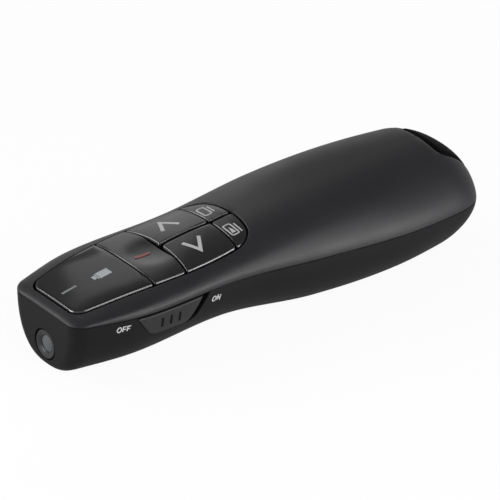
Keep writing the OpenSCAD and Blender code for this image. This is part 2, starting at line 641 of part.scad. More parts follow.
// Soldered part on the board, by its front edge, middle in Y, length, width and height
module soldered(x, y, l, w, h) block(x, x + l, y - w / 2, y + w / 2, board_top, board_top + h);
module controller_chip() color([0.1, 0.1, 0.1]) soldered(laser_rear_x - 1.25, 0, 4.2, 4.8, 1);
module radio_chip() color([0.1, 0.1, 0.1]) soldered(board_front_x + 4.2, 3.7, 3.8, 3.8, 0.8);
module crystal_can() color([0.75, 0.76, 0.78]) soldered(board_front_x + 4.4, -3.65, 3.2, 2.5, 0.8);
capacitor_pitch = 1.9;
module chip_capacitors() color([0.66, 0.52, 0.36]) for (i = [1 : 6])
    soldered(FRAME_POSTS[1].x - frame_post_d / 2 - capacitor_pitch * i, 7.05, 1, 1.7, 0.6);

// Battery bay
cell_y = cell_pitch / 2;
nub_len = 0.9;
nub_d = 3.8;
// The cell on +Y points its nub forwards, the cell on -Y backwards
CELLS = [[front_stop_x, cell_y, 1], [rear_stop_x, -cell_y, -1]];
jacket_t = 0.15;
module cell_cans() color([0.75, 0.75, 0.76]) for (c = CELLS) {
    a = c.x + c.z * nub_len;
    b = c.x + c.z * cell_len;
    rod_x(min(a, b), max(a, b), c.y, cell_z, cell_d - 2 * jacket_t);
    rod_x(min(c.x, a), max(c.x, a), c.y, cell_z, nub_d);
}
module cell_jackets() color([0.2, 0.22, 0.25]) for (c = CELLS) {
    a = c.x + c.z * (nub_len + 0.4);
    b = c.x + c.z * (cell_len - 0.4);
    difference() {
        rod_x(min(a, b), max(a, b), c.y, cell_z, cell_d);
        rod_x(min(a, b) - 1, max(a, b) + 1, c.y, cell_z, cell_d - 2 * jacket_t);
    }
}
contact_low_z = cell_z - 3.6;
contact_high_z = cell_z + 3.8;
contact_side = cell_y + 3.8;
contact_edge_y = 0.5;
tab_w = 1.3;
tab_len = 3.9;
module front_contacts() color([0.8, 0.78, 0.72]) both_sides() {
    block(bay_front_x, front_stop_x, contact_edge_y, contact_side, contact_low_z, contact_high_z);
    block(bay_front_x - tab_len, bay_front_x + eps, contact_edge_y, contact_edge_y + tab_w,
        board_top, board_top + contact_t);
}
module rear_bridge() color([0.8, 0.78, 0.72])
    block(rear_stop_x, bay_rear_x, -contact_side, contact_side, contact_low_z, contact_high_z);

// Conical coil along X from x0 to x1, its radius going from r0 to r1
module coil(x0, x1, y, z, r0, r1, wire, turns) {
    n = 6;
    m = turns * 12;
    function ring(i) = let (
            f = i / m, a = 360 * turns * f, r = r0 + (r1 - r0) * f,
            inset = sign(x1 - x0) * wire / 2, x = x0 + inset + (x1 - x0 - 2 * inset) * f
        )
        [for (k = [0 : n - 1]) let (b = 360 * k / n, w = r + wire / 2 * cos(b))
            [x + wire / 2 * sin(b), y + w * cos(a), z + w * sin(a)]];
    polyhedron([for (i = [0 : m]) each ring(i)], [
        for (i = [0 : m - 1], k = [0 : n - 1]) each
            quad(i * n + k, (i + 1) * n + k, (i + 1) * n + (k + 1) % n, i * n + (k + 1) % n),
        [for (k = [0 : n - 1]) k],
        [for (k = [n - 1 : -1 : 0]) m * n + k]
    ], convexity = 8);
}
module contact_springs() color([0.8, 0.8, 0.8]) {
    coil(front_stop_x, front_stop_x + spring_len, -cell_y, cell_z, 3.4, 2.2, 0.5, 4);
    coil(rear_stop_x, rear_stop_x - spring_len, cell_y, cell_z, 3.4, 2.2, 0.5, 4);
}

// Battery cover: a piece of the lower skin that tips open about its front edge
bay_half = cell_pitch / 2 + cell_d / 2 + 0.35;
bay_side_t = 1.8;
bay_end_t = 1.2;
cover_front_x = bay_front_x - 1.5;
cover_rear_x = bay_rear_x + 1.5;
cover_r = 2;
COVER_ROWS = rows(cover_front_x - 2, cover_rear_x + 2, 2.6);
COVER_ANGLES = [for (i = [0 : 18]) 216 + 6 * i];
function cover_outline(g) =
    box_outline(cover_front_x - g, cover_rear_x + g, -cover_w / 2 - g, cover_w / 2 + g, cover_r + g);
cover_gap = gap + 0.05;
rib_t = 0.8;
// The cover tips about the round roll in the middle of its front edge
hinge_x = cover_front_x + cover_t / 2;
hinge_z = base_z(hinge_x) + cover_t / 2;
hinge_d = cover_t - 0.1;
hinge_half = 4;
module rod_y(x, z, half, d) translate([x, half, z]) rotate([90, 0, 0]) cylinder(h = 2 * half, d = d);
module battery_cover() color([0.1, 0.1, 0.11]) {
    difference() {
        intersection() {
            skin(COVER_ROWS, COVER_ANGLES, 0, cover_t);
            prism(cover_outline(0), -1, far);
        }
        block(cover_front_x - 1, hinge_x, -hinge_half, hinge_half, -1, far);
    }
    rod_y(hinge_x, hinge_z, hinge_half, hinge_d);
    block(bay_front_x + 6, bay_rear_x - 6, -rib_t / 2, rib_t / 2, cover_t / 2, cell_z - cell_d / 2 + 1.2);
}
module cover_space() intersection() {
    skin(COVER_ROWS, COVER_ANGLES, -1.5, wall + 0.2);
    prism(cover_outline(cover_gap), -3, far);
}

// Receiver tray: the floor between the cells and the receiver, with two side walls and a stop
tray_z = cell_z + cell_d / 2 + 0.35;
tray_top = tray_z + tray_t;
tray_half = receiver_w / 2 + gap;
tray_wall = 1;
plug_x = cap_x - receiver_len;
stop_x = plug_x - 0.6;
tray_side = bay_half + bay_side_t - 0.5;
tray_neck = bay_half - 1.4;
TRAY_OUTLINE = rounded([
    [bay_front_x - bay_end_t, -tray_neck, 0.5], [bay_front_x, -tray_neck, 0.3], [bay_front_x, -tray_side, 0.5],
    [bay_rear_x + bay_end_t, -tray_side, 1], [bay_rear_x + bay_end_t, tray_side, 1], [bay_front_x, tray_side, 0.5],
    [bay_front_x, tray_neck, 0.3], [bay_front_x - bay_end_t, tray_neck, 0.5]]);
tray_wall_top = receiver_z + 4.5;
module receiver_tray() color([0.13, 0.13, 0.14]) {
    prism(TRAY_OUTLINE, tray_z, tray_top);
    both_sides() block(stop_x - tray_wall, bay_rear_x + bay_end_t, tray_half, tray_half + tray_wall, tray_top - eps,
        tray_wall_top);
    block(stop_x - tray_wall, stop_x, -tray_half - eps, tray_half + eps, tray_top - eps, tray_wall_top);
}

// Receiver: base, lid, cap and plug
receiver_mid_z = receiver_z + receiver_h / 2;
receiver_top_z = receiver_z + receiver_h;
case_x = plug_x + plug_len - 1;
receiver_wall = 1;
lid_half = receiver_w / 2;
module receiver_half(outer_z, inner_z0, inner_z1) difference() {
    prism_x(rounded([[-lid_half, receiver_mid_z, 0], [lid_half, receiver_mid_z, 0],
        [lid_half, outer_z, receiver_edge_r], [-lid_half, outer_z, receiver_edge_r]]), case_x, cap_x);
    block(case_x + 1.2, cap_x - 1, -lid_half + receiver_wall, lid_half - receiver_wall, inner_z0, inner_z1);
    block(case_x - 1, case_x + 1.4, -plug_w / 2 - 0.03, plug_w / 2 + 0.03,
        receiver_mid_z - plug_h / 2 - 0.03, receiver_mid_z + plug_h / 2 + 0.03);
}
receiver_board_z = receiver_mid_z - 1.3;
module receiver_base() color([0.1, 0.1, 0.11]) {
    receiver_half(receiver_z, receiver_z + receiver_wall, far);
    for (x = [case_x + 6.8, case_x + 22.8])
        block(x, x + 1, -lid_half + 2.8, lid_half - 2.8, receiver_z + receiver_wall - eps, receiver_board_z);
}
module receiver_lid() color([0.1, 0.1, 0.11])
    receiver_half(receiver_top_z, 0, receiver_top_z - receiver_wall);
cap_half = receiver_w / 2 - 0.1;
notch_half = cap_half + gap;
notch_r = 2;
function notch_outline(x, half, r) = rounded([[x, -half, r], [far + 10, -half, 0], [far + 10, half, 0], [x, half, r]]);
CAP_ROWS = concat([cap_x - 3, cap_x - 1], [for (x = tail_rows) if (x > cap_x - 0.5) x]);
module receiver_cap() color([0.05, 0.05, 0.06]) intersection() {
    core(CAP_ROWS, 0);
    prism(notch_outline(cap_x, cap_half, notch_r - gap), seam_z(half_len) + gap, far);
}
module receiver_board() color([0.07, 0.28, 0.14])
    block(case_x + 1.5, cap_x - 1.6, -lid_half + 1.4, lid_half - 1.4, receiver_board_z, receiver_board_z + 0.8);
module receiver_chips() color([0.1, 0.1, 0.1]) {
    block(case_x + 8.8, case_x + 13.8, -2.5, 2.5, receiver_board_z + 0.8, receiver_board_z + 1.7);
    block(case_x + 16.8, case_x + 20, -1.6, 1, receiver_board_z + 0.8, receiver_board_z + 1.5);
}
plug_metal = 0.3;
module plug_shell() color([0.78, 0.79, 0.8]) difference() {
    block(plug_x, case_x + 1.35, -plug_w / 2, plug_w / 2, receiver_mid_z - plug_h / 2, receiver_mid_z + plug_h / 2);
    block(plug_x - 1, case_x + 2, -plug_w / 2 + plug_metal, plug_w / 2 - plug_metal,
        receiver_mid_z - plug_h / 2 + plug_metal, receiver_mid_z + plug_h / 2 - plug_metal);
    both_sides() for (z = [receiver_mid_z - plug_h / 2, receiver_mid_z + plug_h / 2])
        block(plug_x + 6.2, plug_x + 8.4, 1.6, 4, z - 0.5, z + 0.5);
}
tongue_z = receiver_mid_z - plug_h / 2 + plug_metal;
module plug_tongue() color([0.9, 0.9, 0.88])
    block(plug_x + 1, case_x + 1.5, -plug_w / 2 + plug_metal + 0.05, plug_w / 2 - plug_metal - 0.05,
        tongue_z, tongue_z + 1.8);
module plug_contacts() color([0.85, 0.7, 0.35]) for (y = [-3.5, -1, 1, 3.5])
    block(plug_x + 1.6, plug_x + 10, y - 0.5, y + 0.5, tongue_z + 1.8, tongue_z + 1.95);

// Case screws: two in front of the cells and two behind them, driven from below
boss_d = 4;
screw_end_z = 18.5;
module case_screws() color([0.25, 0.25, 0.27]) for (p = SCREWS) both_sides() {
    post(p.x, p.y, p.z - 1.4, p.z, screw_head_d);
    post(p.x, p.y, p.z - 0.5, screw_end_z, screw_d - 0.04);
}

// Upper shell: the skin above the parting line, with a skirt round the panel, bosses and receiver ribs
guide_rib_y = 5;
module top_shell() color([0.15, 0.15, 0.16]) difference() {
    union() {
        skin(ROWS, top_angles, 0, wall, true);
        intersection() {
            core(CORE_ROWS, wall / 2);
            union() {
                intersection() {
                    prism(panel_edge(skirt_t), 0, far);
                    prism_y(deck_band(0, far), -far, far);
                }
                for (p = SCREWS) both_sides() post(p.x, p.y, seam_z(p.x), far, boss_d);
                both_sides() block(heel_x + 2, cap_x - 4, guide_rib_y - 0.5, guide_rib_y + 0.5,
                    receiver_top_z + gap, far);
            }
        }
    }
    prism(panel_edge(0), 0, far);
    for (p = SCREWS) both_sides() post(p.x, p.y, 0, screw_end_z + 0.5, screw_d);
    prism(notch_outline(cap_x - gap, notch_half, notch_r), 0, far);
}

// Lower shell: the skin under the parting line, with the battery bay, bosses, ribs and openings
saddle_t = 1.2;
BOARD_POSTS = [[board_front_x + 3.2, 8.4], [PREVIOUS_KEY.x + 0.825, 8.8]];
board_post_d = 2.4;
module bottom_shell() color([0.12, 0.12, 0.13]) difference() {
    union() {
        skin(ROWS, base_angles, 0, wall, true);
        intersection() {
            core(CORE_ROWS, wall / 2);
            union() {
                for (p = SCREWS) both_sides() post(p.x, p.y, 0, seam_z(p.x), boss_d + 0.4);
                bay_walls();
                slide_pad();
                for (x = [barrel_x + 1.6, barrel_end_x - 2.6])
                    block(x, x + saddle_t, -barrel_d / 2 - 1.6, barrel_d / 2 + 1.6, 0, laser_z + 0.8);
                for (p = BOARD_POSTS) both_sides() post(p.x, p.y, 0, board_z, board_post_d);
            }
        }
    }
    for (p = SCREWS) both_sides() {
        post(p.x, p.y, 0, far, screw_d + 0.3);
        post(p.x, p.y, -1, p.z, screw_head_d + 0.4);
    }
    cover_space();
    rod_x(barrel_x, barrel_end_x, 0, laser_z, barrel_d + 0.04);
    rod_x(-half_len - 1, bezel_floor_x, 0, laser_z, bezel_d);
    rod_x(bezel_floor_x - 1, barrel_x, 0, laser_z, aperture_d + 0.6);
    prism_y(knob_outline(knob_play, 1, knob_travel), -far, -recess_y);
    block(slide_lever_x - 2.2, slide_lever_x + 2.2 + knob_travel, -far, 0, slide_z - 0.95, slide_z + 0.95);
}
module bay_walls() difference() {
    block(bay_front_x - bay_end_t, bay_rear_x + bay_end_t, -bay_half - bay_side_t, bay_half + bay_side_t, 0, tray_z);
    block(bay_front_x, bay_rear_x, -bay_half, bay_half, -1, far);
    both_sides() block(-far, bay_front_x + 1, contact_edge_y - 0.2, contact_edge_y + tab_w + 0.2,
        board_top - 0.1, board_top + contact_t + 0.3);
}
PAD_ROWS = rows(knob_x - knob_len / 2 - pad_margin, knob_x + knob_len / 2 + knob_travel + pad_margin, 3);
module slide_pad() prism_y(concat(
    [[PAD_ROWS[0], knob_low_z - pad_margin], [PAD_ROWS[len(PAD_ROWS) - 1], knob_low_z - pad_margin]],
    [for (x = backwards(PAD_ROWS)) [x, seam_z(x) - 0.05]]), -far, -pad_y);

top_shell();
bottom_shell();
battery_cover();
key_frame();
status_window();
laser_button();
laser_bar();
previous_button();
next_button();
play_button();
blank_button();
laser_switch_stem();
previous_switch_stem();
next_switch_stem();
play_switch_stem();
blank_switch_stem();
tact_switches();
slide_knob();
slide_switch_lever();
slide_switch_body();
nose_bezel();
aperture_window();
laser_barrel();
laser_lens();
laser_diode();
laser_board();
laser_leads();
main_board();
board_screws();
case_screws();
controller_chip();
radio_chip();
crystal_can();
chip_capacitors();
status_leds();
light_guides();
cell_cans();
cell_jackets();
front_contacts();
rear_bridge();
contact_springs();
receiver_tray();
receiver_base();
receiver_lid();
receiver_cap();
receiver_board();
receiver_chips();
plug_shell();
plug_tongue();
plug_contacts();
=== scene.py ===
"""Looks of a wireless presentation clicker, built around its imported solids.

Shapes are worked out in millimetres from the same driving sizes as the solids and are turned
to metres when they become meshes. +X runs from the laser nose to the receiver end, -Y is the
side with the slide switch, and +Z is up.
"""

import math

import bmesh
import bpy
import numpy as np
from mathutils import Matrix


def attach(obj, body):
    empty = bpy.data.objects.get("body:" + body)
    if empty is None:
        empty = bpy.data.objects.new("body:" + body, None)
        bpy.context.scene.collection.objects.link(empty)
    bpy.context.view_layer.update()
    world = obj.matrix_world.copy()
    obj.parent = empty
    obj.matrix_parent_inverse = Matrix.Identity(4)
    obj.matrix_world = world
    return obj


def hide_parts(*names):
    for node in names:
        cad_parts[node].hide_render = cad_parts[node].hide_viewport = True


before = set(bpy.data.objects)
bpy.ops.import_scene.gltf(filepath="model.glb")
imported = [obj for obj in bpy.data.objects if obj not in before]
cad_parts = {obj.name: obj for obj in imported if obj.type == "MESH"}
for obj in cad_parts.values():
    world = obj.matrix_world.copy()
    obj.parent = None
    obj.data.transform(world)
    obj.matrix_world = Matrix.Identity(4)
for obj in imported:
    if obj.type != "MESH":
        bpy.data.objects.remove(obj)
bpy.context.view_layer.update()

MM = 0.001
PI = math.pi

# ---------------------------------------------------------------- body form
HALF = 57.75
# Six sections along the body, with their half widths and the heights of ridge, sole and parting line
STATIONS = np.array([-HALF, -41, -15, 9, 33, HALF])
HALF_WIDTHS = np.array([24.3, 32.1, 31.7, 36.1, 37.7, 31.8]) / 2
TOPS = np.array([15.9, 19.2, 22.2, 25.6, 27.35, 27.3])
BASES = np.array([0.1, 0.6, 2.1, 0.1, 0.0, 2.3])
SEAMS = np.array([14.8, 15.2, 15.95, 15.6, 15.05, 14.9])
# Exponents of the sections: across and in height over the parting line, and under it
CROWNS = np.array([3, 2.8, 2.4, 3.3, 2.68, 2.3])
LEANS = np.array([3, 2.8, 2.4, 1.7, 1.6, 1.55])
KEELS = np.array([2.5, 2.4, 2.2, 2.3, 2.1, 1.8])
NOSE_CORNER = 3.3
NOSE_ROLL = 2.9
NOSE_CHIN = 1.8
NOSE_RAKE = 0.048
RAKE_END_X = -30
TAIL_ROUND_X, TAIL_ROUND_N = 45.1, 3.1
TAIL_DROP_X, TAIL_DROP_N = 45.35, 1.72
TAIL_TIP = 0.25
# The least share of the width and of the height that the nose and the tail keep
LEAST = 0.15


def share(v):
    """The value held between 0 and 1."""
    return np.clip(v, 0, 1)


def along(values, x):
    """Value at x on cubic pieces through the stations, with slopes from the neighbouring stations."""
    gaps = np.diff(STATIONS)
    slopes = np.concatenate([
        [(values[1] - values[0]) / gaps[0]],
        (values[2:] - values[:-2]) / (STATIONS[2:] - STATIONS[:-2]),
        [(values[-1] - values[-2]) / gaps[-1]]])
    i = np.clip(np.searchsorted(STATIONS, x, side="right") - 1, 0, len(gaps) - 1)
    h = gaps[i]
    t = share((x - STATIONS[i]) / h)
    return ((2 * t**3 - 3 * t**2 + 1) * values[i] + (t**3 - 2 * t**2 + t) * h * slopes[i]
            + (3 * t**2 - 2 * t**3) * values[i + 1] + (t**3 - t**2) * h * slopes[i + 1])


def nose_cut(x, r):
    """How far a quarter round of radius r cuts in at x, measured from the nose."""
    d = np.clip(r - HALF - x, 0, r)
    return r - np.sqrt(r * r - d * d)


def tail_fade(x, start, n):
    """1 up to start, then a superellipse of exponent n that reaches 0 at the tail."""
    return (1 - share((x - start) / (HALF - start)) ** n) ** (1 / n)


def tail_height(x):
    """Share of the height that is left at x, which ends at TAIL_TIP."""
    return TAIL_TIP + (1 - TAIL_TIP) * tail_fade(x, TAIL_DROP_X, TAIL_DROP_N)


def half_width(x):
    """Half of the body's width at x, with the round corners of the nose and the tail."""
    return (along(HALF_WIDTHS, x) - nose_cut(x, NOSE_CORNER)) * np.maximum(
        tail_fade(x, TAIL_ROUND_X, TAIL_ROUND_N), LEAST)


def seam_z(x):
    """Height of the parting line at x."""
    return along(SEAMS, x)


def rise(x):
    """Height of the ridge over the parting line at x, rolled off by a quarter round at the nose."""
    fade = LEAST + (1 - LEAST) * np.sqrt(1 - share((NOSE_ROLL - HALF - x) / NOSE_ROLL) ** 2)
    return (along(TOPS, x) - seam_z(x)) * fade * tail_height(x)


def fall(x):
    """Depth of the sole under the parting line at x."""
    return (seam_z(x) - along(BASES, x) - nose_cut(x, NOSE_CHIN)) * tail_height(x)


def inwards(a, d):
    """A half size a made less by about d: a squared over the sum of both, which never reaches 0."""
    return a * a / (a + d)


def skin(x, t, d=0.0):
    """Point of the body surface at station x and section angle t, a depth d under the skin.

    The section is a superellipse: half sizes times the cosine and the sine of t, each to the power
    of 2 over its exponent. 0 to pi is above the parting line, with t = pi on the side of the slide
    switch. Over the palm the exponent in height is the smaller one, so that the side leans in from
    the parting line. Below that line the nose leans back, and the sole is cut flat at z = 0.
    """
    up = np.sin(t) >= -1e-9
    across = np.where(up, along(CROWNS, x), along(KEELS, x))
    upright = np.where(up, along(LEANS, x), along(KEELS, x))
    c, s = np.cos(t), np.sin(t)
    y = inwards(half_width(x), d) * np.sign(c) * np.abs(c) ** (2 / across)
    height = inwards(np.where(up, rise(x), fall(x)), d)
    z = np.maximum(seam_z(x) + height * np.sign(s) * np.abs(s) ** (2 / upright), d)
    f = share((RAKE_END_X - x) / (RAKE_END_X + HALF))
    lean = NOSE_RAKE * np.maximum(seam_z(x) - z, 0) * f**2 * (3 - 2 * f)
    return np.stack([x * (HALF - d) / HALF + lean, y, z], axis=-1)


def base_angle(x, y):
    """Section angle of the lower surface at plan point x, y."""
    across = share(np.abs(y) / half_width(x)) ** (along(KEELS, x) / 2)
    return 2 * PI - np.arccos(np.sign(y) * across)


def side_angle(x, z):
    """Section angle of the switch side at height z, under the parting line."""
    return PI + np.arcsin(share((seam_z(x) - z) / fall(x)) ** (along(KEELS, x) / 2))


def top_z(x, y):
    """Height of the upper surface at plan point x, y."""
    flat = 1 - share(np.abs(y) / half_width(x)) ** along(CROWNS, x)
    return seam_z(x) + rise(x) * flat ** (1 / along(LEANS, x))


# ---------------------------------------------------------------- regions, as signed distances
PANEL_FRONT = -55.5
JOINTS = [PANEL_FRONT, -35.55, -25.75, -11.9, -5.5]
BOWS = [0, 0, 1.35, 0.7, 3.2]
REAR_JOINT = 4
PANEL_W, PANEL_FRONT_W, PANEL_WIDEST_X = 24.1, 17.4, -26
TAPER = (PANEL_W - PANEL_FRONT_W) / 2 / (PANEL_FRONT - PANEL_WIDEST_X) ** 2
PANEL_FRONT_R, PANEL_REAR_R = 2.5, 3.5
KEY_GAP = 0.42
MIDDLE_GAP = 0.95
KEY_T = 1.6
PANEL_LIFT = 0.2
KEY_BEVEL = 0.16
KEY_CORNER = 0.55
KNOB_X, KNOB_LEN, KNOB_LOW_LEN, KNOB_LOW_Z, KNOB_H = -34.35, 17.7, 10.6, 9.8, 5.3
KNOB_TRAVEL, KNOB_PROUD, KNOB_CORNER = 1.5, 0.35, 1.4
RECESS_Y, RECESS_GAP, RECESS_OVER = 14.4, 0.2, 3
COVER_FRONT, COVER_REAR, COVER_HALF, COVER_CORNER = -5.0, 46.4, 12.0, 2.0
LASER_X = (JOINTS[1] + JOINTS[2]) / 2
ARROW_X = (JOINTS[2] + JOINTS[3]) / 2
SMALL_X = (JOINTS[3] + JOINTS[4]) / 2
CAP_X, CAP_HALF, CAP_CORNER = 48.4, 7.7, 1.7
NOTCH_GAP = 0.3


def both(a, b, r):
    """Signed distance to where two regions overlap, with a corner of radius r.

    Both distances, counted from a line r further in, are joined as a hypotenuse, less r.
    """
    u, v = a + r, b + r
    return np.minimum(np.maximum(u, v), 0) + np.hypot(np.maximum(u, 0), np.maximum(v, 0)) - r


def panel_side(x, y):
    """Signed distance outside the panel's long sides, which narrow as the square towards the nose."""
    slope = -2 * TAPER * (x - PANEL_WIDEST_X)
    return (np.abs(y) - PANEL_W / 2 + TAPER * (x - PANEL_WIDEST_X) ** 2) / np.sqrt(1 + slope**2)


def joint(k, x, y):
    """Signed distance behind joint k of the panel, which bows forwards as the square of y."""
    slope = BOWS[k] * 8 * y / PANEL_W**2
    return (x - JOINTS[k] + BOWS[k] * (2 * y / PANEL_W) ** 2) / np.sqrt(1 + slope**2)


def panel(x, y):
    """Signed distance outside the opening for the window and the keys."""
    front = both(-joint(0, x, y), panel_side(x, y), PANEL_FRONT_R)
    return both(front, joint(REAR_JOINT, x, y), PANEL_REAR_R)


def window_area(x, y):
    """Region of the window, between the front of the panel and its first joint."""
    front = both(KEY_GAP - joint(0, x, y), panel_side(x, y) + KEY_GAP, PANEL_FRONT_R)
    return both(front, joint(1, x, y) + KEY_GAP / 2, KEY_CORNER)


def key_area(a, b, side):
    """Region of a key between joints a and b; side is 0 for a full key, -1 or 1 for a half."""
    gap, corner = (KEY_GAP / 2, KEY_CORNER) if b < REAR_JOINT else (KEY_GAP, PANEL_REAR_R - KEY_GAP)

    def region(x, y):
        rear = both(panel_side(x, y) + KEY_GAP, joint(b, x, y) + gap, corner)
        if side:
            rear = both(rear, MIDDLE_GAP / 2 - side * y, KEY_CORNER)
        return both(rear, KEY_GAP / 2 - joint(a, x, y), KEY_CORNER)
    return region


def recess_region(grow):
    """Region of the knob's recess in X and Z, grown on all sides over the parting line.

    It is the knob's trapezoid, longer at the rear by the travel of the knob.
    """
    lean = (KNOB_LEN - KNOB_LOW_LEN) / 2 / KNOB_H
    norm = math.hypot(1, lean)

    def region(x, z):
        half = KNOB_LOW_LEN / 2 + lean * (z - KNOB_LOW_Z)
        front = (KNOB_X - half - x) / norm - grow
        rear = (x - KNOB_X - half - KNOB_TRAVEL) / norm - grow
        below = both(np.maximum(front, rear), KNOB_LOW_Z - z - grow, KNOB_CORNER)
        return np.maximum(below, z - seam_z(x) - RECESS_OVER)
    return region


def rounded_box(x0, x1, half, r):
    """Region from x0 to x1 and half to either side of the middle, with corners of radius r."""
    def region(x, y):
        return both(np.maximum(x0 - x, x - x1), np.abs(y) - half, r)
    return region


def notch(x, y):
    """Signed distance outside the notch of the tail, a gap wider than the cap in it."""
    return both(CAP_X - NOTCH_GAP - x, np.abs(y) - CAP_HALF - NOTCH_GAP, CAP_CORNER + NOTCH_GAP)


def roll(distance, r):
    """Drop of a rounded edge of radius r at a distance inside that edge."""
    d = np.clip(distance, 0, r)
    return r - np.sqrt(r * r - (r - d) ** 2)


STEEP_SHARE, STEEP_SLOPE, BEVEL_SOFT = 0.6, 1.3, 0.001


def bevel(distance, width):
    """Drop of a double bevel at a distance inside the edge.

    A 45 degree face, softened where it meets the top, turns steeper over an outer share of its width.
    """
    left = width - distance
    steep = np.maximum(STEEP_SHARE * width - distance, 0)
    return (left + np.sqrt(left * left + BEVEL_SOFT)) / 2 + STEEP_SLOPE * steep


HALVINGS, FARTHEST = 45, 60.0
EDGE_SAMPLES, CORNER_WEIGHT = 6001, 0.8


def reach(region, centre, angles):
    """Distance from the centre to the region's edge along each angle, by halving."""
    low, high = np.zeros_like(angles), np.full_like(angles, FARTHEST)
    for _ in range(HALVINGS):
        mid = (low + high) / 2
        outside = region(centre[0] + mid * np.cos(angles), centre[1] + mid * np.sin(angles)) > 0
        low, high = np.where(outside, low, mid), np.where(outside, mid, high)
    return (low + high) / 2


def spread(region, centre, start, stop, count):
    """Angles from the centre whose edge points are evenly spaced and crowd round the corners.

    Even steps are taken along a sum of the share of the length and the weighted share of the turn.
    """
    a = np.linspace(start, stop, EDGE_SAMPLES)
    r = reach(region, centre, a)
    step = np.diff(np.stack([r * np.cos(a), r * np.sin(a)]), axis=1)
    length = np.hypot(*step)
    turn = np.abs(np.diff(np.unwrap(np.arctan2(step[1], step[0])), prepend=np.nan))
    turn[0] = 0
    weight = length / length.sum() + CORNER_WEIGHT * turn / max(turn.sum(), 1e-9)
    place = np.concatenate([[0], np.cumsum(weight)])
    return np.interp(np.linspace(0, place[-1], count), place, a)


# ---------------------------------------------------------------- meshes
WELD = 2e-7
CREASE = math.radians(40)


def eased(n):
    """Shares from 0 to 1 that crowd at both ends."""
    return (1 - np.cos(np.linspace(0, PI, n))) / 2


def full_turn(n):
    """Angles of n even steps round a circle, without the last, which is the first again."""
    return np.linspace(0, 2 * PI, n + 1)[:-1]


def grid_faces(rows, cols, wrap, first):
    """Corner numbers of a grid's quads, whose points count from first; wrap joins last to first."""
    i = np.arange(rows * cols).reshape(rows, cols) + first
    if wrap:
        i = np.concatenate([i, i[:, :1]], axis=1)
    return np.stack([i[:-1, :-1], i[1:, :-1], i[1:, 1:], i[:-1, 1:]], axis=-1).reshape(-1, 4)


def put(name, data):
    """A new object in the scene."""
    obj = bpy.data.objects.new(name, data)
    bpy.context.collection.objects.link(obj)
    return obj


def piece(name, body, finish, grids, replaces=(), rim=None):
    """One closed mesh from grids of points in mm, each (rows, columns, 3).

    Each grid comes with a flag that closes its rows. The grids are welded where they meet, and the
    faces are turned outwards. rim is a second material and the rows of the first grid's faces that
    it covers, from one to before the other.
    """
    points, faces, first = [], [], 0
    for grid, wrap in grids:
        rows, cols = grid.shape[:2]
        points.append(grid.reshape(-1, 3))
        faces.append(grid_faces(rows, cols, wrap, first))
        first += rows * cols
    mesh = bpy.data.meshes.new(name)
    mesh.from_pydata((np.concatenate(points) * MM).tolist(), [], np.concatenate(faces).tolist())
    mesh.materials.append(finish)
    if rim:
        mesh.materials.append(rim[0])
        row = np.arange(len(mesh.polygons)) // grids[0][0].shape[1]
        mesh.polygons.foreach_set("material_index", ((row >= rim[1]) & (row < rim[2])).astype(np.int32))
    bm = bmesh.new()
    bm.from_mesh(mesh)
    bmesh.ops.remove_doubles(bm, verts=bm.verts, dist=WELD)
    bmesh.ops.delete(bm, geom=[e for e in bm.edges if not e.link_faces], context="EDGES")
    bmesh.ops.recalc_face_normals(bm, faces=bm.faces)
    bm.to_mesh(mesh)
    bm.free()
    mesh.shade_smooth()
    mesh.set_sharp_from_angle(angle=CREASE)
    obj = put(name, mesh)
    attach(obj, body)
    if replaces:
        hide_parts(*replaces)


def mirrored(grids):
    """Mirror images of the grids across the middle plane."""
    return [(grid * [1, -1, 1], wrap) for grid, wrap in grids]


def cap(centre, region, place, depth, edge, count=300, core=14, fall_off=roll):
    """Closed key-like body over a region round a centre.

    A polar grid of core rows and 8 closer ones runs from the centre to the region's edge, falls
    off there by a round or a bevel of size edge, runs down the side to depth and closes under the
    middle. place(p, q, h) puts region point p, q at height h over the surface that it follows.
    """
    a = spread(region, centre, 0, 2 * PI, count + 1)[:-1]
    r = reach(region, centre, a)
    margin = 1.3 * edge
    inner = np.linspace(0, 1, core)[:, None] * (r - margin)
    rim = r - margin * np.cos(np.linspace(0, PI / 2, 9)[1:])[:, None]
    radius = np.concatenate([inner, rim])
    p, q = centre[0] + radius * np.cos(a), centre[1] + radius * np.sin(a)
    top = place(p, q, -fall_off(-region(p, q), edge))
    side = [place(p[-1], q[-1], np.full_like(a, -h)) for h in np.linspace(edge, depth, 4)[1:]]
    under = place(*(np.full_like(a, v) for v in (*centre, -depth)))
    return np.concatenate([top, np.stack(side + [under])])


def slab(face, back, rows):
    """Closed grids between a face and its back, with sides of so many rows."""
    grids = [(face, False), (back, False)]
    for edge in ((slice(None), 0), (slice(None), -1), (0, slice(None)), (-1, slice(None))):
        sides = [face[edge] * (1 - v) + back[edge] * v for v in np.linspace(0, 1, rows)]
        grids.append((np.stack(sides), False))
    return grids


DOME_H, DOME_X, DOME_Y = 0.4, 7.2, 12
DROP_H, DROP_W, DROP_X, DROP_FADE = 0.5, 2.6, -12.5, 3


def on_panel(p, q, h):
    """The upper surface, with the panel a little proud of the shell.

    The arrow keys are domed by a parabola along and one across. The small keys fall towards the
    sides by the square of how near they come.
    """
    dome = share(1 - ((p - ARROW_X) / DOME_X) ** 2) * share(1 - (q / DOME_Y) ** 2)
    drop = share(1 + panel(p, q) / DROP_W) ** 2 * share((p - DROP_X) / DROP_FADE)
    return np.stack([p, q, top_z(p, q) + (h + PANEL_LIFT + DOME_H * dome - DROP_H * drop)], axis=-1)


def under_base(p, q, h):
    """The lower surface, lowered by h."""
    point = skin(p, base_angle(p, q))
    return point - np.stack([np.zeros_like(p), np.zeros_like(p), h + 0 * p], axis=-1)


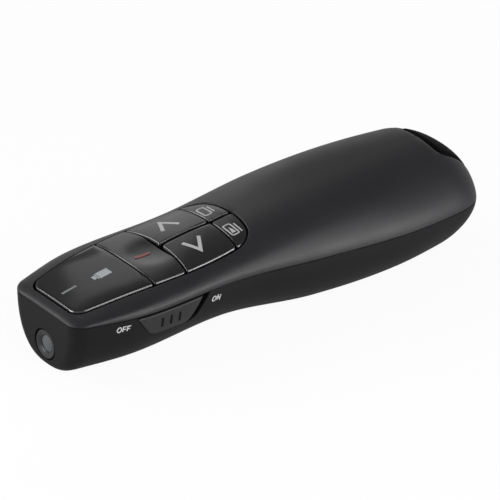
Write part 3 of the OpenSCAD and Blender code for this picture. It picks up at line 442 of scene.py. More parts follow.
def on_side(proud):
    """Places on the switch side, where p is X, q is the height and the surface is moved out by proud."""
    def place(p, q, h):
        point = skin(p, side_angle(p, q), -proud)
        point[..., 1] -= h
        point[..., 2] = q
        return point
    return place


def ring(profile, centre):
    """Closed body of revolution round X from a profile of (place along X, radius)."""
    a = full_turn(96)
    u = np.array(profile + profile[:1])
    x = centre[0] + u[:, :1] + 0 * a
    return np.stack([x, centre[1] + u[:, 1:] * np.cos(a), centre[2] + u[:, 1:] * np.sin(a)], axis=-1)


INK, INK_ROOT = 0.04, -0.02
STROKE_STEPS = 6


def stroke(path, width, place):
    """Thin ribbon of ink: a path of region points widened on both sides, with mitred corners.

    At each corner the path moves by half the width times the sum of both normals over one plus
    their dot product. The ribbon's ends are closed on their middles.
    """
    path = np.array(path, float)
    closed = np.allclose(path[0], path[-1])
    t = np.diff(path, axis=0)
    t /= np.hypot(t[:, 0], t[:, 1])[:, None]
    normal = np.stack([-t[:, 1], t[:, 0]], axis=1)
    before = np.concatenate([normal[-1:] if closed else normal[:1], normal])
    after = np.concatenate([normal, normal[:1] if closed else normal[-1:]])
    mitre = (before + after) / (1 + (before * after).sum(axis=1))[:, None]
    knots = np.arange(len(path))
    fine = np.linspace(0, knots[-1], knots[-1] * STROKE_STEPS + 1)
    x, y, mitre_x, mitre_y, fine_width = (
        np.interp(fine, knots, values) for values in (*path.T, *mitre.T, width + 0 * path[:, 0]))
    across = np.linspace(-0.5, 0.5, 4)[:, None] * fine_width
    x, y = x + across * mitre_x, y + across * mitre_y
    top = place(x, y, np.full(x.shape, INK))
    low = place(x, y, np.full(x.shape, INK_ROOT))
    loop = np.concatenate([top, low[::-1], top[:1]])
    if not closed:
        middle = np.broadcast_to(loop[:-1].mean(axis=0), loop.shape)
        loop = np.concatenate([middle[:, :1], loop, middle[:, -1:]], axis=1)
    return loop, False


# ---------------------------------------------------------------- materials
def srgb(code):
    """Linear red, green and blue of a hex colour."""
    c = np.array([int(code[i:i + 2], 16) for i in (1, 3, 5)]) / 255
    return tuple(float(v) for v in np.where(c <= 0.04045, c / 12.92, ((c + 0.055) / 1.055) ** 2.4))


def add(tree, kind, inputs=(), **settings):
    """Adds a node, sets its properties, and fills or links its inputs."""
    node = tree.nodes.new("ShaderNode" + kind)
    for key, value in settings.items():
        setattr(node, key, value)
    for key, value in dict(inputs).items():
        socket = node.inputs[key]
        if isinstance(value, bpy.types.NodeSocket):
            tree.links.new(value, socket)
        else:
            socket.default_value = value
    return node


def empty_tree(owner):
    """The node tree of a new material or world, with nothing in it."""
    owner.use_nodes = True
    owner.node_tree.nodes.clear()
    return owner.node_tree


def ramp(tree, source, stops):
    """Colour that a source picks from stops, each a place from 0 to 1 and its linear colour."""
    node = add(tree, "ValToRGB", {"Fac": source})
    elements = node.color_ramp.elements
    while len(elements) < len(stops):
        elements.new(0.5)
    for element, (place, value) in zip(elements, stops):
        element.position = place
        element.color = (*value, 1)
    return node.outputs["Color"]


def material(name, low, high, rough, grain_mm, bump, **principled):
    """Moulded or finished surface: colour and roughness drift a little, and a fine grain lifts it.

    low and high are the darkest and lightest hex colours, rough the least and most roughness,
    grain_mm the size of one grain, and bump the grain's height in mm. The drift has waves of
    about a centimetre.
    """
    made = bpy.data.materials.new(name)
    tree = empty_tree(made)
    where = add(tree, "TexCoord").outputs["Object"]
    drift = add(tree, "TexNoise", {"Vector": where, "Scale": 90, "Detail": 3}).outputs["Fac"]
    grain = add(tree, "TexNoise", {"Vector": where, "Scale": 0.5 / (grain_mm * MM),
                                   "Detail": 2}).outputs["Fac"]
    colour = ramp(tree, drift, [(0.3, srgb(low)), (0.7, srgb(high))])
    roughness = add(tree, "MapRange", {"Value": drift, "From Min": 0.3, "From Max": 0.7,
                                       "To Min": rough[0], "To Max": rough[1]}).outputs["Result"]
    lifted = add(tree, "Bump", {"Height": grain, "Strength": 1, "Distance": bump * MM}).outputs["Normal"]
    shader = add(tree, "BsdfPrincipled", {"Base Color": colour, "Roughness": roughness, "Normal": lifted,
                                          **principled})
    add(tree, "OutputMaterial", {"Surface": shader.outputs["BSDF"]})
    return made


# Rubbery paint over ABS: near black with a faint violet cast, a wide soft sheen and a fine even grain
SOFT_TOUCH = material("soft_touch_paint_on_abs", "#161519", "#1a191d", (0.42, 0.48), 0.22, 0.006)
# Moulded ABS from a spark-eroded tool: a shade flatter than the paint above the parting line
LOWER_ABS = material("spark_textured_abs", "#18181a", "#1c1c1d", (0.50, 0.58), 0.3, 0.006,
                     **{"Specular IOR Level": 0.15})
# Polished acrylic: deep black under a clear, slightly soft mirror
WINDOW = material("polished_black_acrylic", "#09090a", "#0c0c0e", (0.14, 0.17), 3.0, 0.0005)
# Polished ABS: black with the lamps drawn a little wider than on the window
KEY_GLOSS = material("polished_black_abs_key", "#0c0c0d", "#0f0f11", (0.24, 0.28), 2.0, 0.0008)
# Satin ABS: black keys whose sheen fades over their crowns
KEY_SATIN = material("satin_black_abs_key", "#101012", "#141416", (0.22, 0.26), 0.25, 0.002)
# Polished edge of the keys and the window, the same black plastic: its lighter colour is a painted
# highlight, and a strong sheen and a clear coat make the fine line catch every lamp
KEY_EDGE_HIGHLIGHT = material("polished_edge_painted_highlight", "#1c1c1e", "#222224", (0.20, 0.24), 1.0, 0.0002,
                    **{"Specular IOR Level": 1.0, "Coat Weight": 1.0, "Coat Roughness": 0.1})
# Satin ABS, a tone lighter than the shell, so that the finger grooves read dark
KNOB = material("satin_abs_knob", "#1c1c1e", "#212123", (0.40, 0.46), 0.25, 0.003)
# Clear polycarbonate dyed red over a dark key: a dull, deep red until it is lit
RED_BAR = material("clear_red_polycarbonate", "#702a2e", "#7c3034", (0.25, 0.30), 1.0, 0.001)
# Pad printing ink: flat, light grey and slightly uneven
MARK = material("pad_printed_light_ink", "#b2b2b2", "#bcbcbc", (0.45, 0.55), 0.1, 0.001)
# The same ink in white on the side of the case
SIDE_MARK = material("pad_printed_white_ink", "#c8c8c8", "#d2d2d2", (0.50, 0.60), 0.1, 0.001)
# Grey ink under the window, for what only shows when it is lit
DIM_MARK = material("screen_printed_grey_ink", "#7c7e81", "#868889", (0.45, 0.55), 0.1, 0.001)
# Pale blue-grey ink of the battery symbol
CELL_MARK = material("screen_printed_blue_grey_ink", "#a2a7ab", "#acb0b4", (0.45, 0.55), 0.1, 0.001)
# Fine matt ABS of the receiver's end, partly black plastic and partly painted shade: it is made the
# blackest surface, with hardly any reflection, to stand for the shadow in the notch round the cap
TAIL_BLACK_SHADE = material("matt_black_abs_cap_painted_shade", "#08080a", "#0b0b0d", (0.50, 0.58), 0.3, 0.004,
                      **{"Specular IOR Level": 0.03})
# Matt ABS case of the receiver stick
CASE_ABS = material("matt_black_abs_case", "#1a1a1b", "#1f1f20", (0.50, 0.58), 0.3, 0.006)
# Plain moulded ABS inside the case, straight from the tool
INNER_ABS = material("plain_moulded_abs", "#171718", "#1c1c1d", (0.45, 0.55), 0.5, 0.004)
# Nylon switch stems: black with a waxy sheen
DARK_SWITCH = material("black_nylon_stem", "#1b1b1b", "#222222", (0.45, 0.55), 0.4, 0.003)
# Nylon insulators: off-white and slightly waxy
WHITE_PLASTIC = material("white_nylon_insulator", "#d8d8d2", "#e2e2dc", (0.40, 0.50), 0.4, 0.002)
# Clear acrylic: a bright, colourless rod that passes the light on
CLEAR_PLASTIC = material("clear_acrylic_guide", "#d5dadd", "#e2e6e8", (0.08, 0.12), 1.0, 0.001,
                         **{"Transmission Weight": 0.6, "IOR": 1.49})
# Solder mask on glass epoxy: green, glossy and a little uneven
BOARD = material("green_solder_mask", "#123a22", "#1c5531", (0.25, 0.35), 0.8, 0.01)
# Moulded epoxy of a chip: dark grey and matt
CHIP = material("black_epoxy_package", "#141414", "#1a1a1a", (0.50, 0.60), 0.15, 0.004)
# Fired ceramic of a chip capacitor: tan and dry
CERAMIC = material("tan_ceramic_chip", "#8d7355", "#a58a68", (0.35, 0.45), 0.3, 0.003)
# Nickel-plated rolled sheet steel: grey, with a soft sheen
STEEL = material("rolled_nickel_steel", "#a8a8a6", "#bebebc", (0.24, 0.34), 0.4, 0.003, Metallic=1.0)
# Stamped and nickel-plated plug shell: brighter than the contacts
PLUG_STEEL = material("stamped_nickel_plug", "#bfc0c2", "#d0d1d3", (0.16, 0.24), 0.5, 0.002, Metallic=1.0)
# Turned brass: warm yellow with a fine sheen
BRASS = material("turned_brass", "#b08d4a", "#c7a35c", (0.22, 0.32), 0.4, 0.003, Metallic=1.0)
# Deep-drawn steel can of a cell
CAN = material("drawn_cell_can", "#b4b4b6", "#c6c6c8", (0.22, 0.32), 0.4, 0.002, Metallic=1.0)
# Frosted front of the laser's window: a soft neutral grey disc in daylight
LENS = material("frosted_polycarbonate_window", "#56575a", "#5e5f62", (0.42, 0.48), 1.0, 0.001)
# Collimator glass behind it
GLASS = material("ground_lens_glass", "#7b8184", "#8b9194", (0.03, 0.05), 2.0, 0.0002,
                 **{"Transmission Weight": 0.7, "IOR": 1.52})
# Satin ring round the laser's window, lighter than the case
BEZEL = material("satin_abs_bezel", "#1f1f20", "#252526", (0.34, 0.40), 0.4, 0.002)
# Printed film round a cell: dark blue-grey, smooth and tight
JACKET = material("printed_cell_jacket", "#22262c", "#343a42", (0.22, 0.32), 1.5, 0.001)
# Black oxide on steel screws
SCREW = material("black_oxide_screw", "#2a2a2c", "#38383a", (0.30, 0.40), 0.3, 0.003, Metallic=1.0)

# The solids that are shown as they are, by their finish
for finish, nodes in (
        (INNER_ABS, "key_frame receiver_tray"), (CASE_ABS, "receiver_base receiver_lid"),
        (DARK_SWITCH, "laser_switch_stem previous_switch_stem next_switch_stem play_switch_stem"),
        (DARK_SWITCH, "blank_switch_stem"), (WHITE_PLASTIC, "slide_switch_lever status_leds plug_tongue"),
        (STEEL, "tact_switches slide_switch_body laser_leads board_screws crystal_can"),
        (STEEL, "front_contacts rear_bridge contact_springs"), (PLUG_STEEL, "plug_shell"),
        (BRASS, "laser_barrel laser_diode plug_contacts"), (SCREW, "case_screws"), (GLASS, "laser_lens"),
        (BOARD, "laser_board main_board receiver_board"), (CERAMIC, "chip_capacitors"),
        (CHIP, "controller_chip radio_chip receiver_chips"), (CLEAR_PLASTIC, "light_guides"),
        (CAN, "cell_cans"), (JACKET, "cell_jackets")):
    for node in nodes.split():
        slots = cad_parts[node].data.materials
        if not len(slots):
            slots.append(finish)
        for i in range(len(slots)):
            slots[i] = finish

# ---------------------------------------------------------------- shells
WALL = 1.8
FLANGE = 0.4
PART_GAP = 0.09
SEAM_ROLL = 0.12
OPENING_ROLL = 0.3
NOTCH_ROLL = 1.0
DOOR_ROLL = 0.25
RECESS_ROLL = 0.2
PAD_Y = 13.2
PANEL_DEPTH, NOTCH_DEPTH, DOOR_DEPTH = 1.9, 1.6, 2.0
PLAIN, RECESS = 0, 1


def nose_steps(n):
    """Stations round the corner of the nose, even in angle."""
    return -HALF + NOSE_CORNER * (1 - np.cos(np.linspace(0, PI / 2, n)))


def tail_steps(start, stop, n):
    """Stations from start to stop that crowd towards the tail."""
    return start + (stop - start) * np.sin(np.linspace(0, PI / 2, n))


def strip(inner, outer, n):
    """Stations and angles of a skin between two edges, each (m, 2), crowding at both edges."""
    v = eased(n)[:, None, None]
    between = inner * (1 - v) + outer * v
    return between[..., 0], between[..., 1]


def station(x, d):
    """Station whose points, a depth d under the skin, stand at x."""
    return np.minimum(x * HALF / (HALF - d), HALF)


def plan_angle(x, y, d, exponents):
    """Angle from the side of a section at depth d where it has the plan distance y from the middle."""
    return np.arccos(share(np.abs(y) / inwards(half_width(x), d)) ** (along(exponents, x) / 2))


NOTCH_END_FROM = 52


def notch_end(d, grow):
    """Station at which the body at depth d is as narrow as the notch, grown by grow."""
    x = np.linspace(NOTCH_END_FROM, HALF, 4000)
    return float(np.interp(-(CAP_HALF + NOTCH_GAP + grow), -inwards(half_width(x), d), x))


PANEL_CENTRE = (-30.0, 0.0)
PANEL_RAYS = spread(panel, PANEL_CENTRE, PI, 2 * PI, 260)
# Columns on the spine, and on the front, corner and side of the notch
SPINE, NOTCH_FRONT, NOTCH_BEND, NOTCH_SIDE = 70, 12, 14, 46
INSIDE_ROWS, OUTSIDE_ROWS, LOWER_ROWS = 24, 54, 46
# Stations on the parting line that face the rear of the panel and both ends of the spine
REAR_OUT, SPINE_OUT, NOTCH_OUT = -9, -4, 47


def upper_sheet(d):
    """Upper skin of the switch side at depth d.

    Columns run from the panel, the spine and the notch to the parting line. Their inner ends are
    found in plan, grown by the flange where the sheet is the inside of the wall. A column's points
    lie between both ends in station and angle.
    """
    grow = FLANGE if d else 0
    r = reach(lambda p, q: panel(p, q) - grow, PANEL_CENTRE, PANEL_RAYS)
    px = PANEL_CENTRE[0] + r * np.cos(PANEL_RAYS)
    py = -np.abs(r * np.sin(PANEL_RAYS))
    front_x = CAP_X - NOTCH_GAP - grow
    half, bend = (size + NOTCH_GAP + grow for size in (CAP_HALF, CAP_CORNER))
    end = notch_end(d, grow)
    q = np.linspace(0, PI / 2, NOTCH_BEND)
    notch_x = np.concatenate([
        np.full(NOTCH_FRONT, front_x), front_x + bend * (1 - np.cos(q)),
        tail_steps(front_x + bend, end * (HALF - d) / HALF, NOTCH_SIDE)[1:]])
    notch_y = -np.concatenate([
        np.linspace(0, half - bend, NOTCH_FRONT + 1)[1:], half - bend + bend * np.sin(q),
        np.full(NOTCH_SIDE - 1, half)])
    in_x = np.concatenate([px, np.linspace(px[-1], front_x, SPINE)[1:], notch_x])
    in_y = np.concatenate([py, np.zeros(SPINE - 1), notch_y])
    sx = station(in_x, d)
    inner = np.stack([sx, PI - plan_angle(sx, in_y, d, CROWNS)], axis=-1)
    inner[np.abs(in_y) < 1e-9, 1] = PI / 2
    inner[-1] = end, PI
    corner, nose_end, rear = PANEL_MARKS
    m = len(px)
    outer = np.full_like(inner, PI)
    outer[:corner + 1, 0] = -HALF
    outer[:corner + 1, 1] = PI / 2 + PI / 2 * np.linspace(0, 1, corner + 1)
    outer[corner:nose_end + 1, 0] = nose_steps(nose_end - corner + 1)
    outer[nose_end:rear + 1, 0] = np.interp(
        PANEL_OUTLINE[nose_end:rear + 1], PANEL_OUTLINE[[nose_end, rear]], [outer[nose_end, 0], REAR_OUT])
    outer[rear:m, 0] = np.linspace(REAR_OUT, SPINE_OUT, m - rear)
    outer[m:m + SPINE - 1, 0] = np.linspace(SPINE_OUT, NOTCH_OUT, SPINE)[1:]
    outer[m + SPINE - 1:, 0] = tail_steps(NOTCH_OUT, end, len(notch_x) + 1)[1:]
    x, t = strip(inner, outer, INSIDE_ROWS if d else OUTSIDE_ROWS)
    bare = skin(x, t, d)
    point = bare.copy()
    if not d:
        point = skin(x, t, roll(np.abs(bare[..., 2] - seam_z(x)), SEAM_ROLL))
        for region, r in ((panel, OPENING_ROLL), (notch, NOTCH_ROLL)):
            point[..., 2] -= roll(region(bare[..., 0], bare[..., 1]), r)
    point[..., 2] = np.maximum(point[..., 2], seam_z(x) + PART_GAP)
    foot = point[-1].copy()
    foot[:, 2] = seam_z(outer[:, 0]) + PART_GAP
    return point, foot


CORNER_LEAN, BEHIND_NOSE_X = 0.3, -49


def panel_marks():
    """Columns at the nose corner, behind it and at the rear of the panel, and where all stand."""
    r = reach(panel, PANEL_CENTRE, PANEL_RAYS)
    x = PANEL_CENTRE[0] + r * np.cos(PANEL_RAYS)
    y = -np.abs(r * np.sin(PANEL_RAYS))
    corner = int(np.argmin(x + y * CORNER_LEAN))
    behind = int(np.searchsorted(x[corner:], BEHIND_NOSE_X)) + corner
    return (corner, behind, int(np.argmin(np.abs(x - REAR_OUT)))), x


PANEL_MARKS, PANEL_OUTLINE = panel_marks()


def flange(outside, inside, depth, floor=0):
    """Wall of an opening: straight in from the outer edge, a land, and back to the inner sheet.

    Where it would end under the floor, it ends on it.
    """
    bottom = outside + np.array([0, 0, depth])
    bottom[:, 2] = np.maximum(bottom[:, 2], floor)
    land = inside.copy()
    land[:, 2] = bottom[:, 2]
    return (np.stack([outside, (outside + bottom) / 2, bottom, land, inside]), False)


def upper_shell():
    """Both skins, the foot on the parting line and the walls of the panel and the notch, mirrored."""
    (out, out_foot), (inside, in_foot) = upper_sheet(0.0), upper_sheet(WALL)
    grids = [(out, False), (inside, False), (np.stack([out[-1], out_foot, in_foot, inside[-1]]), False)]
    m = len(PANEL_OUTLINE)
    for part, depth in ((slice(0, m), PANEL_DEPTH), (slice(m + SPINE - 2, None), NOTCH_DEPTH)):
        floor = seam_z(out[0, part, 0]) + PART_GAP
        grids.append(flange(out[0, part], inside[0, part], -depth, floor))
    # The last column of the notch's wall closes on the foot
    grids[-1][0][1:4, -1] = out_foot[-1], out_foot[-1], in_foot[-1]
    grids += mirrored(grids)
    piece("upper_shell", "grip", SOFT_TOUCH, grids, ["top_shell"])


DOOR_GAP = 0.2
DOOR = rounded_box(COVER_FRONT - DOOR_GAP, COVER_REAR + DOOR_GAP, COVER_HALF + DOOR_GAP,
                   COVER_CORNER + DOOR_GAP)
DOOR_CENTRE = ((COVER_FRONT + COVER_REAR) / 2, 0.0)
DOOR_RAYS = spread(DOOR, DOOR_CENTRE, PI, 2 * PI, 240)
# Where the columns of the opening end on the parting line, by their share of the way round
DOOR_OUT = (0, 0.14, 0.86, 1), (-10, -4, 45, 51.5)
RECESS_AREA = recess_region(RECESS_GAP)
RECESS_CENTRE = (KNOB_X + KNOB_TRAVEL / 2, 14.0)
RECESS_COLUMNS = 110
NOSE_STEPS = nose_steps(22)


def recess_rays():
    """Rays from the recess's centre to its outline under the parting line, front to rear."""
    rays = spread(RECESS_AREA, RECESS_CENTRE, PI - 0.2, 2 * PI + 0.2, 4000)
    r = reach(RECESS_AREA, RECESS_CENTRE, rays)
    keep = RECESS_CENTRE[1] + r * np.sin(rays) < seam_z(RECESS_CENTRE[0] + r * np.cos(rays))
    rays = rays[keep]
    return rays[np.linspace(0, len(rays) - 1, RECESS_COLUMNS).astype(int)]


RECESS_RAYS = recess_rays()


def recess_outline(grow):
    """X and Z of the recess's edge, grown by grow, that starts and ends on the parting line."""
    r = reach(recess_region(RECESS_GAP + grow), RECESS_CENTRE, RECESS_RAYS)
    x, z = RECESS_CENTRE[0] + r * np.cos(RECESS_RAYS), RECESS_CENTRE[1] + r * np.sin(RECESS_RAYS)
    z = np.minimum(z, seam_z(x))
    z[[0, -1]] = seam_z(x[[0, -1]])
    return x, z


def lower_sheet(d, kind):
    """Lower skin of one side at depth d, and its columns at the recess and at the cover's opening.

    Columns run from the middle line and the opening to the parting line, and on the switch side to
    the edge of the knob's recess, which dips under that line.
    """
    grow = FLANGE if d else 0
    r = reach(lambda p, q: DOOR(p, q) - grow, DOOR_CENTRE, DOOR_RAYS)
    cx, cy = DOOR_CENTRE[0] + r * np.cos(DOOR_RAYS), -np.abs(r * np.sin(DOOR_RAYS))
    door_out = np.interp(np.linspace(0, 1, len(cx)), *DOOR_OUT)
    rx, rz = recess_outline(grow)
    if kind == PLAIN:
        rz = seam_z(rx)
    columns = [
        (NOSE_STEPS, NOSE_STEPS),
        (np.linspace(NOSE_STEPS[-1], rx[0] - 1, 34)[1:-1], np.linspace(NOSE_STEPS[-1], rx[0], 34)[1:-1]),
        (np.linspace(rx[0] - 1, rx[-1] + 1, len(rx)), rx),
        (np.linspace(rx[-1] + 1, cx[0], 42)[1:-1], np.linspace(rx[-1], door_out[0], 42)[1:-1]),
        (station(cx, d), door_out),
        (tail_steps(cx[-1], HALF, 40)[1:], tail_steps(door_out[-1], HALF, 40)[1:])]
    in_x, out_x = (np.concatenate([c[k] for c in columns]) for k in (0, 1))
    starts = np.cumsum([0] + [len(c[0]) for c in columns])
    recess_cols, door_cols = slice(starts[2], starts[3]), slice(starts[4], starts[5])
    inner = np.stack([in_x, np.full_like(in_x, 1.5 * PI)], axis=-1)
    inner[door_cols, 1] = PI + plan_angle(in_x[door_cols], cy, d, KEELS)
    inner[door_cols.start, 1] = inner[door_cols.stop - 1, 1] = 1.5 * PI
    outer = np.stack([out_x, np.full_like(out_x, PI)], axis=-1)
    depth = share((seam_z(rx) - rz) / inwards(fall(rx), d))
    outer[recess_cols, 1] = PI + np.arcsin(depth ** (along(KEELS, rx) / 2))
    x, t = strip(inner, outer, LOWER_ROWS)
    bare = skin(x, t, d)
    point = bare.copy()
    if not d:
        point = skin(x, t, roll(np.abs(bare[..., 2] - seam_z(x)), SEAM_ROLL))
        if kind == RECESS:
            point[..., 1] += roll(RECESS_AREA(x, bare[..., 2]), RECESS_ROLL)
        point[..., 2] += roll(DOOR(bare[..., 0], bare[..., 1]), DOOR_ROLL)
    point[..., 2] = np.minimum(point[..., 2], seam_z(x) - PART_GAP)
    return point, recess_cols, door_cols


LASER_Z = 5.8
BEZEL_R, BEAM_R, BEZEL_DEPTH, BORE_BREAK = 3.8, 2.3, 0.9, 0.12


def nose_x(z):
    """Place of the leaning nose face at height z."""
    return -HALF + NOSE_RAKE * np.maximum(seam_z(np.array(-HALF)) - z, 0)


def bridged(edge, n=12):
    """A half outline, carried on along the parting line to the middle."""
    line = np.linspace(edge[-1], edge[-1] * [1, 0, 1], n + 1)[1:]
    return np.concatenate([edge, line])


def nose_wall(out_edge, in_edge):
    """Half of the nose wall: its face, the stepped laser bore and its inside, as one run of rows.

    Each column keeps its direction from the laser's axis. A strip closes the wall in the middle.
    """
    outside, inside = bridged(out_edge), bridged(in_edge)
    a = np.arctan2(outside[:, 2] - LASER_Z, outside[:, 1])

    def ring_at(radius, depth):
        """Points of the bore at a radius and a depth behind the leaning face."""
        y, z = radius * np.cos(a), LASER_Z + radius * np.sin(a)
        return np.stack([nose_x(z) + depth, y, z], axis=-1)

    bore = [ring_at(BEZEL_R + BORE_BREAK, 0), ring_at(BEZEL_R, BORE_BREAK),
            ring_at(BEZEL_R, BEZEL_DEPTH), ring_at(BEAM_R, BEZEL_DEPTH), ring_at(BEAM_R, WALL)]
    shares = np.linspace(0, 1, 14)[:, None, None]
    face = outside * (1 - shares) + bore[0] * shares
    face[1:-1, :, 0] = nose_x(face[1:-1, :, 2])
    back = bore[-1] * (1 - shares) + inside * shares
    return [(np.concatenate([face, np.stack(bore[1:-1]), back]), False),
            (np.stack([outside[len(out_edge) - 1:], inside[len(in_edge) - 1:]]), False)]


def lower_half(kind):
    """Closed grids of one half of the lower shell, on the switch side, with or without the recess.

    The wall of the recess runs in from its edge, up the pad behind the knob, over it and down its
    back to the inner skin. Flat lands lie on the parting line, and the tail closes in the middle.
    """
    out, recess_cols, door_cols = lower_sheet(0.0, kind)
    inside, _, _ = lower_sheet(WALL, kind)
    grids = [(out, False), (inside, False), flange(out[0, door_cols], inside[0, door_cols], DOOR_DEPTH)]
    if kind == RECESS:
        edge, back_edge = out[-1, recess_cols], inside[-1, recess_cols]
        deep, back_deep = edge.copy(), back_edge.copy()
        deep[:, 1], back_deep[:, 1] = -RECESS_Y, -PAD_Y
        rim, back_rim = deep.copy(), back_deep.copy()
        for line in (rim, back_rim):
            line[:, 2] = seam_z(line[:, 0]) - PART_GAP
        wall = np.stack([edge, (edge + deep) / 2, deep, (deep + rim) / 2, rim, back_rim,
                         (back_rim + back_deep) / 2, back_deep, back_edge])
        grids.append((wall, False))
        # Each end of this wall closes on its first and last rows, which meet the lands
        for i in (0, -1):
            grids.append((np.stack([wall[:, i], wall[[0] + [-1] * (len(wall) - 1), i]]), False))
        lands = (slice(0, recess_cols.start + 1), slice(recess_cols.stop - 1, None))
    else:
        lands = (slice(None),)
    grids += [(np.stack([out[-1, part], inside[-1, part]]), False) for part in lands]
    tips = [sheet[:, -1] for sheet in (out, inside)]
    middles = [tip[-1] * [1, 0, 1] for tip in tips]
    for tip, middle in zip(tips, middles):
        grids.append((np.stack([tip, (tip + middle) / 2, np.broadcast_to(middle, tip.shape)]), False))
    ends = np.array([tip[-1] for tip in tips])
    grids.append((np.stack([ends, (ends + middles) / 2, middles]), False))
    return grids + nose_wall(out[:, 0], inside[:, 0])


def lower_shell():
    """The half with the recess, and the plain half turned to the other side."""
    grids = lower_half(RECESS) + mirrored(lower_half(PLAIN))
    piece("lower_shell", "grip", LOWER_ABS, grids, ["bottom_shell"])


upper_shell()
lower_shell()

# ---------------------------------------------------------------- panel pieces
DISH_DEPTH, DISH_R, DISH_BLEND = 0.75, 20.0, 0.25


def dished_top(p, q, h):
    """The crown with a round finger dish: the lower of both surfaces, blended at the dish's rim.

    The dish is a paraboloid. The blend is the soft minimum: the logarithm of a sum of exponentials.
    """
    crown = top_z(p, q)
    deepest = top_z(np.array(LASER_X), np.array(0.0)) - DISH_DEPTH
    bowl = deepest + ((p - LASER_X) ** 2 + q**2) / (2 * DISH_R)
    low = -DISH_BLEND * np.logaddexp(-crown / DISH_BLEND, -bowl / DISH_BLEND)
    return np.stack([p, q, low + h + PANEL_LIFT], axis=-1)


def panel_piece(name, body, finish, centre, region, node, place=on_panel, core=14):
    """Window or key: a cap with a bevelled edge. The rows of its bevel take the edge finish, whose lighter
    colour is a painted highlight.
    """
    grid = cap(centre, region, place, KEY_T, KEY_BEVEL, core=core, fall_off=bevel)
    piece(name, body, finish, [(grid, True)], [node], rim=(KEY_EDGE_HIGHLIGHT, core + 2, core + 8))


panel_piece("status_window", "grip", WINDOW, (-45.5, 0), window_area, "status_window")
panel_piece("laser_key", "laser_key", KEY_GLOSS, (LASER_X, 0), key_area(1, 2, 0),
            "laser_button", dished_top, 30)
for name, x, y, a, b, side in (
        ("previous", ARROW_X, -5.6, 2, 3, -1), ("next", ARROW_X, 5.6, 2, 3, 1),
        ("play", SMALL_X, -4.6, 3, REAR_JOINT, -1), ("blank", SMALL_X, 4.6, 3, REAR_JOINT, 1)):
    panel_piece(name + "_key", name + "_key", KEY_SATIN, (x, y), key_area(a, b, side),
                name + "_button")

BAR_HALF, BAR_HALF_W, BAR_CORNER, BAR_PROUD, BAR_T, BAR_EDGE = 2.2, 0.45, 0.4, 0.15, 0.5, 0.12


def laser_bar():
    """Red bar across the middle of the dish."""
    area = rounded_box(LASER_X - BAR_HALF, LASER_X + BAR_HALF, BAR_HALF_W, BAR_CORNER)
    grid = cap((LASER_X, 0), area, lambda p, q, h: dished_top(p, q, h + BAR_PROUD), BAR_T, BAR_EDGE, 160, 8)
    piece("laser_bar", "laser_key", RED_BAR, [(grid, True)], ["laser_bar"])


laser_bar()

# ---------------------------------------------------------------- slide knob
GROOVE_PITCH, GROOVE_HALF, GROOVE_DEPTH = 2.42, 0.27, 0.5
GROOVE_LOW, GROOVE_HIGH = 11.2, 13.6
KNOB_LIP, KNOB_T, KNOB_ROLL = 0.25, 1.9, 0.3
KNOB_END_COSINE = 0.84


def slide_knob():
    """Knob: a grid across its trapezoid, proud of the side, with three slots that end in rounds.

    Rows run from the low edge to a lip under the parting line. Each row is as wide as the knob
    there, and the edges roll back by a quarter round. A slot falls off as the exponential of minus
    the sixth power of the distance from its middle line.
    """
    v = eased(90)[:, None]
    u = (2 * eased(301) - 1)[None, :]
    bottom = share(1 - v * KNOB_H / KNOB_CORNER)
    half = ((KNOB_LOW_LEN + (KNOB_LEN - KNOB_LOW_LEN) * v) / 2
            - KNOB_CORNER * (1 - np.sqrt(1 - bottom**2)))
    x = KNOB_X + u * half
    top = seam_z(x) - KNOB_LIP
    z = KNOB_LOW_Z + v * (top - KNOB_LOW_Z)
    from_end = (half - np.abs(x - KNOB_X)) * KNOB_END_COSINE
    edge = np.minimum.reduce([from_end, z - KNOB_LOW_Z, top - z])
    face = on_side(KNOB_PROUD)(x, z, -roll(edge, KNOB_ROLL))
    for k in (-1, 0, 1):
        end = np.maximum(np.maximum(GROOVE_LOW + GROOVE_HALF - z, z - GROOVE_HIGH + GROOVE_HALF), 0)
        d = np.hypot(x - KNOB_X - k * GROOVE_PITCH, end) / GROOVE_HALF
        face[..., 1] += GROOVE_DEPTH * np.exp(-d**6)
    back = on_side(KNOB_PROUD)(x, z, -KNOB_T)
    piece("slide_knob", "slide", KNOB, slab(face, back, 3), ["slide_knob"])


slide_knob()

# ---------------------------------------------------------------- battery cover
COVER_T, COVER_EDGE = 1.6, 0.3
DENT_X, DENT_LEN, DENT_W, DENT_DEPTH = 40.5, 3.6, 6.0, 0.5
RIDGE_X, RIDGE_PITCH, RIDGE_LEN, RIDGE_HALF, RIDGE_H = 38.4, 1.4, 0.34, 5, 0.35
HINGE_X, HINGE_Z, HINGE_R, HINGE_HALF, HINGE_ROUND = -4.2, 2.134, 0.75, 4.0, 0.25


def cover_face(p, q, h):
    """The lower surface, with a finger dent near its rear edge and four ridges across the dent.

    The dent falls off as the exponential of minus the fourth power of the distance from its
    middle. Each ridge is a bell curve along X, which the depth of the dent scales.
    """
    dent = np.exp(-(((p - DENT_X) / DENT_LEN) ** 2 + (q / DENT_W) ** 2) ** 2)
    ridge = sum(RIDGE_H * np.exp(-(((p - RIDGE_X - RIDGE_PITCH * k) / RIDGE_LEN) ** 2)) for k in range(4))
    return under_base(p, q, h - DENT_DEPTH * dent + ridge * (np.abs(q) < RIDGE_HALF) * dent)


def cover_area(x, y):
    """The cover in plan, cut back at the front between the ends of its hinge roll."""
    cut = np.maximum(x - HINGE_X, np.abs(y) - HINGE_HALF)
    return np.maximum(rounded_box(COVER_FRONT, COVER_REAR, COVER_HALF, COVER_CORNER)(x, y), -cut)


